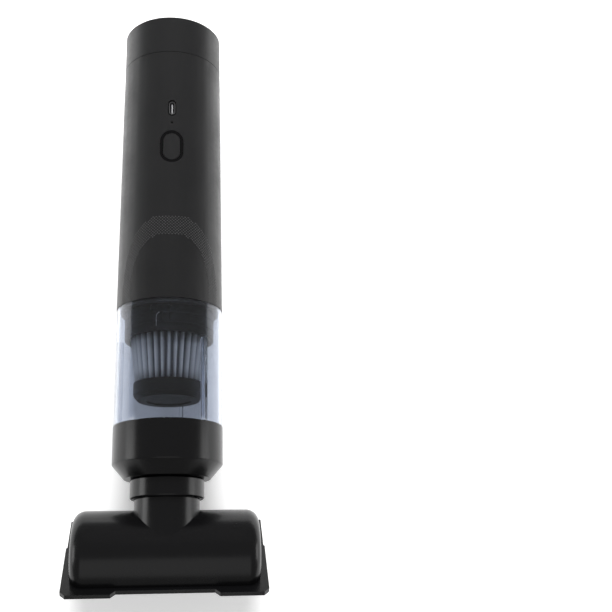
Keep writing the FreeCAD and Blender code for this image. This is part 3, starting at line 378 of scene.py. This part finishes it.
def make_grain_group():
    """Spark-eroded moulding grain: a height, and a mask of its peaks."""
    tree, start, end = new_group(
        "Moulding grain",
        [("Vector", "NodeSocketVector", None), ("Scale", "NodeSocketFloat", 2500.0)],
        [("Height", "NodeSocketFloat"), ("Peaks", "NodeSocketFloat")])
    vector = start.outputs["Vector"]
    fine = noise(tree, vector, start.outputs["Scale"], 2.0, 0.6)
    coarse_scale = reckon(tree, "MULTIPLY", start.outputs["Scale"], COARSE_GRAIN_SCALE)
    coarse = noise(tree, vector, coarse_scale, 2.0)
    height = reckon(tree, "ADD", reckon(tree, "MULTIPLY", fine, FINE_GRAIN_SHARE),
                    reckon(tree, "MULTIPLY", coarse, 1.0 - FINE_GRAIN_SHARE))
    tree.links.new(height, end.inputs["Height"])
    tree.links.new(spread(tree, height, 0.42, 0.62), end.inputs["Peaks"])
    return tree


def make_handling_group():
    """Faint uneven sheen left by handling: a mask of cleaner and duller patches."""
    tree, start, end = new_group(
        "Handling marks",
        [("Vector", "NodeSocketVector", None), ("Scale", "NodeSocketFloat", MARKS_SCALE)],
        [("Marks", "NodeSocketFloat")])
    patches = noise(tree, start.outputs["Vector"], start.outputs["Scale"], 4.0, 0.62)
    fine_scale = reckon(tree, "MULTIPLY", start.outputs["Scale"], SPECK_SCALE)
    specks = noise(tree, start.outputs["Vector"], fine_scale, 3.0)
    both = reckon(tree, "ADD", reckon(tree, "MULTIPLY", patches, PATCH_SHARE),
                  reckon(tree, "MULTIPLY", specks, 1.0 - PATCH_SHARE))
    tree.links.new(spread(tree, both, 0.38, 0.64), end.inputs["Marks"])
    return tree


GROUPS = {}


def shared_group(name):
    if name not in GROUPS:
        GROUPS[name] = {"grain": make_grain_group, "handling": make_handling_group}[name]()
    return GROUPS[name]


def place_group(tree, name, vector, **values):
    node = tree.nodes.new("ShaderNodeGroup")
    node.node_tree = shared_group(name)
    tree.links.new(vector, node.inputs["Vector"])
    for label, number in values.items():
        node.inputs[label].default_value = number
    return node


def new_material(name):
    material = bpy.data.materials.new(name)
    material.use_nodes = True
    tree = material.node_tree
    surface = tree.nodes["Principled BSDF"]
    coordinates = tree.nodes.new("ShaderNodeTexCoord")
    return material, tree, surface, coordinates.outputs["Object"]


def bump(tree, surface, height, strength, distance):
    node = tree.nodes.new("ShaderNodeBump")
    node.inputs["Strength"].default_value = strength
    node.inputs["Distance"].default_value = distance
    tree.links.new(height, node.inputs["Height"])
    tree.links.new(node.outputs["Normal"], surface.inputs["Normal"])
    return node


def opaque(rgb, share=1.0):
    return (rgb[0] * share, rgb[1] * share, rgb[2] * share, 1.0)


def moulded(name, rgb, roughness, grain=2500.0, depth=0.03 * MM, marks=0.06,
            shine=0.5):
    """Moulded plastic or rubber: grain in relief, and a faintly uneven sheen."""
    material, tree, surface, vector = new_material(name)
    grained = place_group(tree, "grain", vector, Scale=grain)
    surface.inputs["Specular IOR Level"].default_value = shine
    handled = place_group(tree, "handling", vector, Scale=MARKS_SCALE)
    tone = blend_colours(tree, grained.outputs["Peaks"], opaque(rgb, 0.86), opaque(rgb, 1.12))
    worn = blend_colours(tree, handled.outputs["Marks"], tone, opaque(rgb, 1.04))
    tree.links.new(worn, surface.inputs["Base Color"])
    sheen = spread(tree, handled.outputs["Marks"], 0.0, 1.0, roughness - marks,
                   roughness + marks)
    tree.links.new(sheen, surface.inputs["Roughness"])
    bump(tree, surface, grained.outputs["Height"], 0.35, depth)
    return material


def folded_paper(name, rgb):
    """Fibrous filter paper, its valleys darkened by painted shade in the folds, with a little fine
    grey dust.
    """
    material, tree, surface, vector = new_material(name)
    mapping = tree.nodes.new("ShaderNodeMapping")
    mapping.inputs["Scale"].default_value = (1.0, 0.25, 1.0)
    tree.links.new(vector, mapping.inputs["Vector"])
    fibres = noise(tree, mapping.outputs["Vector"], 1400.0, 4.0, 0.6)
    clean = blend_colours(tree, fibres, opaque(rgb, 0.90), opaque(rgb, 1.05))
    # The fold depth darkens the paper towards each valley: painted shade in the folds, with a
    # little fine grey dust.
    depth = tree.nodes.new("ShaderNodeAttribute")
    depth.attribute_name = "valley"
    valley_shade_and_dust = spread(tree, depth.outputs["Fac"], 0.15, 0.75)
    tone = blend_colours(tree, valley_shade_and_dust, clean, opaque(rgb, 0.16))
    tree.links.new(tone, surface.inputs["Base Color"])
    surface.inputs["Roughness"].default_value = PAPER_ROUGHNESS
    bump(tree, surface, fibres, 0.4, 0.05 * MM)
    return material


def metal(name, rgb, roughness, brushed):
    """Bare metal with drawn or turned streaks along the axis given the smallest factor."""
    material, tree, surface, vector = new_material(name)
    surface.inputs["Metallic"].default_value = 1.0
    mapping = tree.nodes.new("ShaderNodeMapping")
    mapping.inputs["Scale"].default_value = brushed
    tree.links.new(vector, mapping.inputs["Vector"])
    streaks = noise(tree, mapping.outputs["Vector"], 900.0, 3.0)
    tone = blend_colours(tree, streaks, opaque(rgb, 0.8), opaque(rgb, 1.08))
    tree.links.new(tone, surface.inputs["Base Color"])
    rough = spread(tree, streaks, 0.3, 0.7, roughness - 0.08, roughness + 0.1)
    tree.links.new(rough, surface.inputs["Roughness"])
    bump(tree, surface, streaks, 0.2, 0.02 * MM)
    return material


def clear_plastic(name, rgb):
    """Smoke-tinted clear plastic with faint flow marks."""
    material, tree, surface, vector = new_material(name)
    surface.inputs["Transmission Weight"].default_value = 1.0
    surface.inputs["IOR"].default_value = CLEAR_IOR
    surface.inputs["Specular IOR Level"].default_value = CLEAR_SHINE
    handled = place_group(tree, "handling", vector, Scale=CLEAR_MARKS_SCALE)
    tone = blend_colours(tree, handled.outputs["Marks"], opaque(rgb, 0.985), opaque(rgb))
    tree.links.new(tone, surface.inputs["Base Color"])
    haze = spread(tree, handled.outputs["Marks"], 0.0, 1.0, 0.015, 0.05)
    tree.links.new(haze, surface.inputs["Roughness"])
    return material


# --- stage -----------------------------------------------------------------------------------

def camera_axes(stage):
    """The camera's right, up and backward directions, from its pitch, yaw and roll."""
    ahead = Vector((math.sin(-stage.yaw) * math.cos(stage.pitch),
                    math.cos(stage.yaw) * math.cos(stage.pitch), math.sin(stage.pitch)))
    right = Vector((math.cos(stage.yaw), math.sin(stage.yaw), 0.0))
    up = right.cross(ahead)
    rolled_right = right * math.cos(stage.roll) + up * math.sin(stage.roll)
    rolled_up = up * math.cos(stage.roll) - right * math.sin(stage.roll)
    laid_down = Matrix.Rotation(math.radians(-90), 3, "X")
    return laid_down @ rolled_right, laid_down @ rolled_up, laid_down @ -ahead


# Each light's name, place, size in metres, power in watts, and whether gloss mirrors it.
STUDIO_LIGHTS = (
    ("ceiling", (0.0, 1.65, 1.75), 1.5, 78.0, False),
    ("front", (0.0, -1.2, 1.6), 1.6, 5.0, True),
    ("over the cap", (0.0, 0.45, 0.48), 0.3, 1.5, False),
    ("left", (-1.2, -0.1, 0.20), 0.5, 3.0, True),
    ("right", (1.2, -0.1, 0.20), 0.5, 2.4, True),
)
SKY_LIGHT = 0.30
SKY_SEEN = 1.0
FLOOR_GLOW = 0.38
FLOOR_HALF_WIDTH = 4.0
SENSOR_WIDTH = 36.0
NEAREST_SEEN = 0.01


class VACUUM_OT_stage(bpy.types.Operator):
    """Lays a plain pale floor, and sets up soft studio light and the camera"""
    bl_idname = "vacuum.stage"
    bl_label = "Stage"

    def execute(self, context):
        stage = context.scene.vacuum_stage
        self.lay_floor(stage)
        self.hang_lights(stage)
        self.stand_camera(context, stage)
        return {"FINISHED"}

    def lay_floor(self, stage):
        bm = bmesh.new()
        bmesh.ops.create_grid(bm, x_segments=2, y_segments=2, size=FLOOR_HALF_WIDTH)
        mesh = bpy.data.meshes.new("floor")
        bm.to_mesh(mesh)
        bm.free()
        floor = link_mesh("floor", mesh)
        material, _, surface, _ = new_material("floor")
        surface.inputs["Base Color"].default_value = opaque(stage.floor)
        surface.inputs["Roughness"].default_value = 0.9
        surface.inputs["Emission Color"].default_value = opaque(stage.floor)
        surface.inputs["Emission Strength"].default_value = FLOOR_GLOW * stage.light
        dress(floor, material)

    def hang_lights(self, stage):
        target = Vector((0.0, 0.0, AXIS_Z))
        for name, place_at, size, power, mirrored in STUDIO_LIGHTS:
            data = bpy.data.lights.new(name, "AREA")
            data.shape = "SQUARE"
            data.size = size
            data.energy = power * stage.light
            lamp = bpy.data.objects.new(name, data)
            lamp.location = place_at
            aim = target - Vector(place_at)
            lamp.rotation_euler = aim.to_track_quat("-Z", "Y").to_euler()
            lamp.visible_glossy = mirrored
            bpy.context.scene.collection.objects.link(lamp)
        world = bpy.data.worlds.new("studio")
        world.use_nodes = True
        sky = world.node_tree.nodes["Background"]
        sky.inputs["Color"].default_value = (1.0, 1.0, 1.0, 1.0)
        rays = world.node_tree.nodes.new("ShaderNodeLightPath")
        seen = spread(world.node_tree, rays.outputs["Is Camera Ray"], 0.0, 1.0,
                      SKY_LIGHT * stage.light, SKY_SEEN)
        world.node_tree.links.new(seen, sky.inputs["Strength"])
        bpy.context.scene.world = world
        bpy.context.scene.view_settings.view_transform = "Standard"

    def stand_camera(self, context, stage):
        data = bpy.data.cameras.new("camera")
        data.lens = stage.focal
        data.sensor_width = SENSOR_WIDTH
        data.clip_start = NEAREST_SEEN
        data.shift_x = stage.shift
        camera = bpy.data.objects.new("camera", data)
        right, up, back = camera_axes(stage)
        turn = Matrix((right, up, back)).transposed().to_4x4()
        spot = Vector((stage.side, CUP_SEAM_Y - stage.past_seam, AXIS_Z + stage.height))
        camera.matrix_world = Matrix.Translation(spot) @ turn
        context.scene.collection.objects.link(camera)
        context.scene.camera = camera


# --- pieces ----------------------------------------------------------------------------------

FINISHES = {}


def finish_of(context, slot):
    """The material of a slot, made the first time that a piece asks for it."""
    if slot not in FINISHES:
        FINISHES[slot] = make_finish(slot, context.scene.vacuum_casing, context.scene.vacuum_cup)
    return FINISHES[slot]


# Each moulded finish's roughness, and where it differs from the usual, the scale and depth of
# its grain, how far its sheen varies, and its shine.
SURFACES = {
    "casing": {"roughness": 0.42, "shine": 0.42},
    "grip": {"roughness": 0.36, "depth": 0.02 * MM},
    "satin_black": {"roughness": 0.25, "grain": 3200.0, "depth": 0.002 * MM, "marks": 0.03,
                    "shine": 0.30},
    "inner_black": {"roughness": 0.42, "grain": 3200.0, "depth": 0.004 * MM, "marks": 0.05,
                    "shine": 0.12},
    "catch_painted_highlight": {"roughness": 0.35, "grain": 2600.0, "depth": 0.004 * MM},
    "port_tongue": {"roughness": 0.4, "grain": 2600.0, "depth": 0.004 * MM},
    "gloss_black": {"roughness": 0.10, "grain": 1500.0, "depth": 0.002 * MM, "marks": 0.03,
                    "shine": 0.28},
    "button": {"roughness": 0.42, "grain": 3000.0, "depth": 0.015 * MM},
    "inner_plastic": {"roughness": 0.5},
    "impeller": {"roughness": 0.45},
    "foam": {"roughness": 0.95, "grain": 500.0, "depth": 0.5 * MM},
    "lint_velvet": {"roughness": 0.95, "grain": 1800.0, "depth": 0.3 * MM},
    "seal": {"roughness": 0.6, "grain": 1500.0},
    "cell": {"roughness": 0.35, "grain": 1200.0, "depth": 0.01 * MM},
    "board": {"roughness": 0.4, "grain": 2000.0, "depth": 0.01 * MM},
    "switch": {"roughness": 0.45},
    "lamp": {"roughness": 0.25, "grain": 900.0, "depth": 0.004 * MM, "marks": 0.04,
             "shine": 0.15},
}
PLAIN_COLOURS = {
    "inner_black": (0.0016, 0.0016, 0.0018),
    # A light grey strip on the black holder: a painted highlight along the catch's edge.
    "catch_painted_highlight": (0.55, 0.55, 0.56),
    "port_tongue": (0.30, 0.30, 0.31),
    "inner_plastic": (0.05, 0.05, 0.055),
    "impeller": (0.62, 0.62, 0.58),
    "foam": (0.03, 0.03, 0.032),
    "lint_velvet": (0.02, 0.02, 0.023),
    "seal": (0.02, 0.02, 0.02),
    "cell": (0.03, 0.14, 0.36),
    "board": (0.01, 0.09, 0.035),
    "switch": (0.03, 0.03, 0.03),
    "lamp": (0.001, 0.001, 0.001),
}
METALS = {
    "steel": {"rgb": (0.55, 0.55, 0.56), "roughness": 0.32, "brushed": (1.0, 0.1, 1.0)},
    "motor_can": {"rgb": (0.62, 0.63, 0.65), "roughness": 0.35, "brushed": (1.0, 0.08, 1.0)},
}


def make_finish(slot, casing, cup):
    if slot == "clear_cup":
        return clear_plastic(slot, cup.tint)
    if slot == "filter_paper":
        return folded_paper(slot, cup.paper)
    if slot in METALS:
        return metal(slot, **METALS[slot])
    chosen = {"casing": casing.casing, "button": casing.casing, "grip": casing.grip,
              "satin_black": casing.satin, "gloss_black": casing.gloss}
    rgb = chosen[slot] if slot in chosen else PLAIN_COLOURS[slot]
    return moulded(slot, rgb, **SURFACES[slot])


def add_piece(context, piece, body, slot, *nodes, finish=None):
    """Dresses and places a piece, in its slot's own finish unless another is named."""
    dress(piece, finish_of(context, finish or slot))
    return place(piece, body, slot, *nodes)


# Kept nodes whose finish is not their slot's own.
OTHER_FINISHES = {"usb_c_tongue": "port_tongue"}


class VACUUM_OT_kept(bpy.types.Operator):
    """Gives the parts that keep their own shapes their finishes"""
    bl_idname = "vacuum.kept"
    bl_label = "Kept parts"

    def execute(self, context):
        for entry in frame["record"]["subparts"]:
            finish = OTHER_FINISHES.get(entry["node"], entry["material_slot"])
            dress(frame["nodes"][entry["node"]], finish_of(context, finish))
        return {"FINISHED"}


class VACUUM_OT_casing(bpy.types.Operator):
    """Rounds the edges of the casing and the rear cap"""
    bl_idname = "vacuum.casing"
    bl_label = "Casing"

    def execute(self, context):
        edge = context.scene.vacuum_casing.edge
        casing = softened("casing_shell", "main_housing", edge)
        add_piece(context, casing, "housing", "casing", "main_housing")
        cap = softened("rear_cap_shell", "rear_cap", edge)
        add_piece(context, cap, "rear_cap", "casing", "rear_cap")
        return {"FINISHED"}


class VACUUM_OT_grip(bpy.types.Operator):
    """Sets the grip's arch of lozenge studs on the casing"""
    bl_idname = "vacuum.grip"
    bl_label = "Grip studs"

    def execute(self, context):
        settings = context.scene.vacuum_casing
        bm = bmesh.new()
        for arc, rise in self.stud_places(settings):
            self.add_stud(bm, settings, arc, rise)
        studs = finish_mesh(bm, "grip_studs", smooth=False)
        # The studs take the lighter grip black, a painted highlight.
        add_piece(context, studs, "housing", "casing", finish="grip")
        return {"FINISHED"}

    def stud_places(self, settings):
        """Places in the band between the outer and the inner arch, in offset rows."""
        half, reach, pitch = settings.grip_half_width, settings.grip_reach, settings.grip_pitch
        rows = int(reach / settings.grip_row)
        columns = int(half / pitch) + 1
        for row in range(1, rows):
            rise = row * settings.grip_row
            for column in range(-columns, columns + 1):
                arc = (column + 0.5 * (row % 2)) * pitch
                if arch_share(arc, rise, half, reach, ARCH_OUTER_POWER) > 1.0:
                    continue
                inner_reach = reach - settings.grip_band
                if arch_share(arc, rise, half * ARCH_INNER_SHARE, inner_reach,
                              ARCH_INNER_POWER) > 1.0:
                    yield arc, rise

    def add_stud(self, bm, settings, arc, rise):
        y = CASING_FRONT_Y + rise
        depth = settings.grip_height + STUD_SUNK
        centre = on_casing(arc, y, settings.grip_height - depth / 2)
        outwards = (on_casing(arc, y, 1.0) - on_casing(arc, y)).normalized()
        along = Vector((0.0, 1.0, 0.0))
        across = along.cross(outwards)
        sides = (across * STUD_ACROSS, along * STUD_ALONG, outwards)
        lozenge = Matrix(sides).transposed().to_4x4()
        bmesh.ops.create_cone(bm, cap_ends=True, segments=4, radius1=STUD_FOOT_RADIUS,
                              radius2=STUD_TOP_RADIUS, depth=depth,
                              matrix=Matrix.Translation(centre) @ lozenge)


def arch_share(arc, rise, half, reach, power):
    """Under 1 inside an arch of that half width and reach, and over 1 outside it."""
    return (abs(arc) / half) ** power + (rise / reach) ** power


class VACUUM_OT_controls(bpy.types.Operator):
    """Rounds the button, its bezel and the charging port"""
    bl_idname = "vacuum.controls"
    bl_label = "Button and port"

    def execute(self, context):
        for name, node, width, slot in (
                ("button_bezel_ring", "button_bezel", BEZEL_EDGE, "gloss_black"),
                ("port_trim_ring", "usb_c_trim", TRIM_EDGE, "gloss_black"),
                ("port_shell_tube", "usb_c_shell", PORT_SHELL_EDGE, "steel")):
            piece = softened(name, node, width)
            add_piece(context, piece, "housing", slot, node)
        button = softened("button_pad", "power_button", BUTTON_EDGE)
        add_piece(context, button, "button", "button", "power_button")
        return {"FINISHED"}


class VACUUM_OT_cup(bpy.types.Operator):
    """Builds the clear cup, its collar and the socket ring"""
    bl_idname = "vacuum.cup"
    bl_label = "Cup and collar"

    def execute(self, context):
        cup = softened("clear_cup_wall", "dust_cup", CUP_EDGE)
        add_piece(context, cup, "cup", "clear_cup", "dust_cup")
        collar = softened("collar_shell", "cup_collar", COLLAR_EDGE)
        add_piece(context, collar, "cup", "satin_black", "cup_collar")
        ring = softened("socket_ring_shell", "socket_ring", RING_EDGE)
        add_piece(context, ring, "neck_ring", "satin_black", "socket_ring")
        return {"FINISHED"}


class VACUUM_OT_filter(bpy.types.Operator):
    """Folds the filter's paper and turns its end cap and holder"""
    bl_idname = "vacuum.filter"
    bl_label = "Filter"

    def execute(self, context):
        settings = context.scene.vacuum_cup
        paper = self.fold_paper(settings)
        add_piece(context, paper, "filter", "filter_paper", "filter_pleats")
        cap = self.turn_end_cap()
        add_piece(context, cap, "filter", "satin_black", "filter_end_cap", finish="inner_black")
        holder = softened("holder_skirt", "filter_holder", HOLDER_EDGE)
        add_piece(context, holder, "housing", "satin_black", "filter_holder",
                  finish="inner_black")
        beads = self.turn_beads()
        add_piece(context, beads, "housing", "satin_black", finish="inner_black")
        # The catch's edge gets a light grey finish: a painted highlight.
        edge = self.sweep_catch()
        add_piece(context, edge, "housing", "satin_black", finish="catch_painted_highlight")
        return {"FINISHED"}

    def fold_paper(self, settings):
        """One sheet folded into pleats, wider at the holder than at the end cap."""
        low_corner, high_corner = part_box("filter_pleats")
        low, high = low_corner.y, high_corner.y
        wide = radius_of("filter_pleats") - PAPER_WIDE_INSET
        narrow = radius_of("filter_end_cap") - PAPER_NARROW_INSET
        around = settings.pleats * PAPER_STEPS_PER_FOLD
        bm = bmesh.new()
        valley = bm.verts.layers.float.new("valley")
        ring = bmesh.ops.create_circle(bm, segments=around, radius=1.0)
        for number, vertex in enumerate(ring["verts"]):
            turn = math.tau * number / around
            vertex.co = Vector((math.sin(turn), low, math.cos(turn)))
        front = list(bm.edges)
        for share in PAPER_LEVELS[1:]:
            made = bmesh.ops.extrude_edge_only(bm, edges=front)["geom"]
            fresh = [item for item in made if isinstance(item, bmesh.types.BMVert)]
            for vertex in fresh:
                vertex.co.y = low + (high - low) * share
            front = [item for item in made if isinstance(item, bmesh.types.BMEdge)
                     and all(vertex in fresh for vertex in item.verts)]
        for vertex in bm.verts:
            share = (vertex.co.y - low) / (high - low)
            angle = math.atan2(vertex.co.x, vertex.co.z)
            fold = math.acos(math.cos(angle * settings.pleats)) / math.pi
            waver = PAPER_WAVER * math.sin(angle * 7.0 + share * 5.0)
            # The fold depth, which the paper's finish reads to paint shade into the valleys.
            vertex[valley] = fold
            inward = settings.pleat_depth * fold ** FOLD_SHARPNESS
            radius = narrow + (wide - narrow) * share - inward - abs(waver)
            vertex.co.x = radius * math.sin(angle)
            vertex.co.z = AXIS_Z + radius * math.cos(angle)
        paper = finish_mesh(bm, "pleated_paper", math.radians(60))
        thickness = paper.modifiers.new("Paper thickness", "SOLIDIFY")
        thickness.thickness = settings.paper_thickness
        thickness.offset = -1.0
        return paper

    def turn_end_cap(self):
        low_corner, high_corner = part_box("filter_end_cap")
        low, high = low_corner.y, high_corner.y
        edge = radius_of("filter_end_cap")
        step = edge - CAP_STEP_INSET
        bm = lathe([(0.0, low + CAP_DISH_DEPTH), (edge * CAP_DISH_FLOOR, low + CAP_DISH_DEPTH),
                    (edge * CAP_DISH_MOUTH, low), (edge - CAP_RIM_INSET, low),
                    (step, low + CAP_RIM_HEIGHT), (step, low + CAP_STEP_LOW),
                    (edge, low + CAP_STEP_HIGH), (edge, high - CAP_BACK_EASE),
                    (edge - CAP_BACK_INSET, high), (0.0, high)])
        round_edges(bm, CAP_EDGE, CAP_EDGE_ANGLE)
        return weigh_normals(finish_mesh(bm, "end_cap_cup", SHARP_ANGLE))

    def turn_beads(self):
        """Two fine beads round the holder's skirt."""
        skirt = self.skirt_radius()
        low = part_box("filter_holder")[0].y
        whole = bmesh.new()
        for rise in BEAD_RISES:
            bead = lathe([(skirt + out, low + rise + up) for out, up in BEAD_SECTION])
            mesh = bpy.data.meshes.new("bead")
            bead.to_mesh(mesh)
            bead.free()
            whole.from_mesh(mesh)
            bpy.data.meshes.remove(mesh)
        return finish_mesh(whole, "holder_beads")

    def sweep_catch(self):
        """The raised edge of the bayonet catch, its section bridged from place to place, coloured
        light grey as a painted highlight.
        """
        radius = self.skirt_radius() + CATCH_RISE
        path = self.catch_path(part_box("filter_holder")[0].y)
        bm = bmesh.new()
        rings = []
        for number, spot in enumerate(path):
            before = path[max(number - 1, 0)]
            after = path[min(number + 1, len(path) - 1)]
            heading = Vector(((after[0] - before[0]) * radius, after[1] - before[1]))
            side = Vector((-heading.y, heading.x)).normalized() * CATCH_HALF_WIDTH
            corners = [bm.verts.new(self.on_skirt(spot, side * end, radius, lift * MM))
                       for end, lift in CATCH_SECTION]
            rings.append([bm.edges.new(pair)
                          for pair in zip(corners, corners[1:] + corners[:1])])
        for ring, following in zip(rings, rings[1:]):
            bmesh.ops.bridge_loops(bm, edges=ring + following)
        bmesh.ops.holes_fill(bm, edges=rings[0] + rings[-1], sides=len(CATCH_SECTION))
        return finish_mesh(bm, "holder_catch_highlight_strip", math.radians(70))

    def catch_path(self, low):
        """Places of (angle, y): along the skirt, round a corner, and across it."""
        rise = (CATCH_SHOULDER - CATCH_FOOT) / CATCH_STRAIGHT_STEPS
        path = [(CATCH_SIDE_ANGLE, low + CATCH_FOOT + step * rise)
                for step in range(CATCH_STRAIGHT_STEPS + 1)]
        for step in range(1, CATCH_CORNER_STEPS + 1):
            turn = step / CATCH_CORNER_STEPS * math.pi / 2
            path.append((CATCH_SIDE_ANGLE
                         + (CATCH_TOP_ANGLE - CATCH_SIDE_ANGLE) * (1.0 - math.cos(turn)),
                         low + CATCH_SHOULDER + CATCH_CORNER * math.sin(turn)))
        for step in range(1, CATCH_STRAIGHT_STEPS + 1):
            path.append((CATCH_TOP_ANGLE + step * CATCH_ANGLE_STEP,
                         low + CATCH_SHOULDER + CATCH_CORNER))
        return path

    def on_skirt(self, spot, side, radius, lift):
        angle = spot[0] + side.x / radius
        reach = radius + lift
        return Vector((reach * math.sin(angle), spot[1] + side.y,
                       AXIS_Z + reach * math.cos(angle)))

    def skirt_radius(self):
        """The outer radius of the holder's skirt, at its lowest ring of points."""
        mesh = frame["nodes"]["filter_holder"].data
        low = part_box("filter_holder")[0].y
        return max(math.hypot(vertex.co.x, vertex.co.z - AXIS_Z) for vertex in mesh.vertices
                   if vertex.co.y < low + 0.1 * MM)


class VACUUM_OT_head(bpy.types.Operator):
    """Rounds the head's shell and base plate"""
    bl_idname = "vacuum.head"
    bl_label = "Floor head"

    def execute(self, context):
        shell = softened("head_shell_body", "head_shell", HEAD_EDGE, HEAD_EDGE_ANGLE)
        add_piece(context, shell, "head", "satin_black", "head_shell")
        plate = softened("base_plate_body", "head_base_plate", PLATE_EDGE)
        add_piece(context, plate, "head", "satin_black", "head_base_plate")
        return {"FINISHED"}


# --- running ---------------------------------------------------------------------------------

class VACUUM_PT_panel(bpy.types.Panel):
    """Lists the vacuum's pieces and their settings"""
    bl_label = "Handheld vacuum"
    bl_idname = "VACUUM_PT_panel"
    bl_space_type = "VIEW_3D"
    bl_region_type = "UI"
    bl_category = "Vacuum"

    def draw(self, context):
        for name in SETTINGS:
            box = self.layout.box()
            group = getattr(context.scene, name)
            for field in group.__annotations__:
                box.prop(group, field)
        for operator in OPERATORS:
            self.layout.operator(operator.bl_idname)


OPERATORS = (
    VACUUM_OT_stage,
    VACUUM_OT_kept,
    VACUUM_OT_casing,
    VACUUM_OT_grip,
    VACUUM_OT_controls,
    VACUUM_OT_cup,
    VACUUM_OT_filter,
    VACUUM_OT_head,
)
SETTINGS = {
    "vacuum_casing": VacuumCasingSettings,
    "vacuum_cup": VacuumCupSettings,
    "vacuum_stage": VacuumStageSettings,
}


def register():
    for settings in SETTINGS.values():
        bpy.utils.register_class(settings)
    for operator in OPERATORS:
        bpy.utils.register_class(operator)
    bpy.utils.register_class(VACUUM_PT_panel)
    for name, settings in SETTINGS.items():
        setattr(bpy.types.Scene, name, PointerProperty(type=settings))


def unregister():
    for name in SETTINGS:
        delattr(bpy.types.Scene, name)
    bpy.utils.unregister_class(VACUUM_PT_panel)
    for operator in reversed(OPERATORS):
        bpy.utils.unregister_class(operator)
    for settings in reversed(SETTINGS.values()):
        bpy.utils.unregister_class(settings)


def main():
    register()
    bpy.ops.vacuum.stage()
    bpy.ops.vacuum.kept()
    bpy.ops.vacuum.casing()
    bpy.ops.vacuum.grip()
    bpy.ops.vacuum.controls()
    bpy.ops.vacuum.cup()
    bpy.ops.vacuum.filter()
    bpy.ops.vacuum.head()


if __name__ == "__main__":
    main()
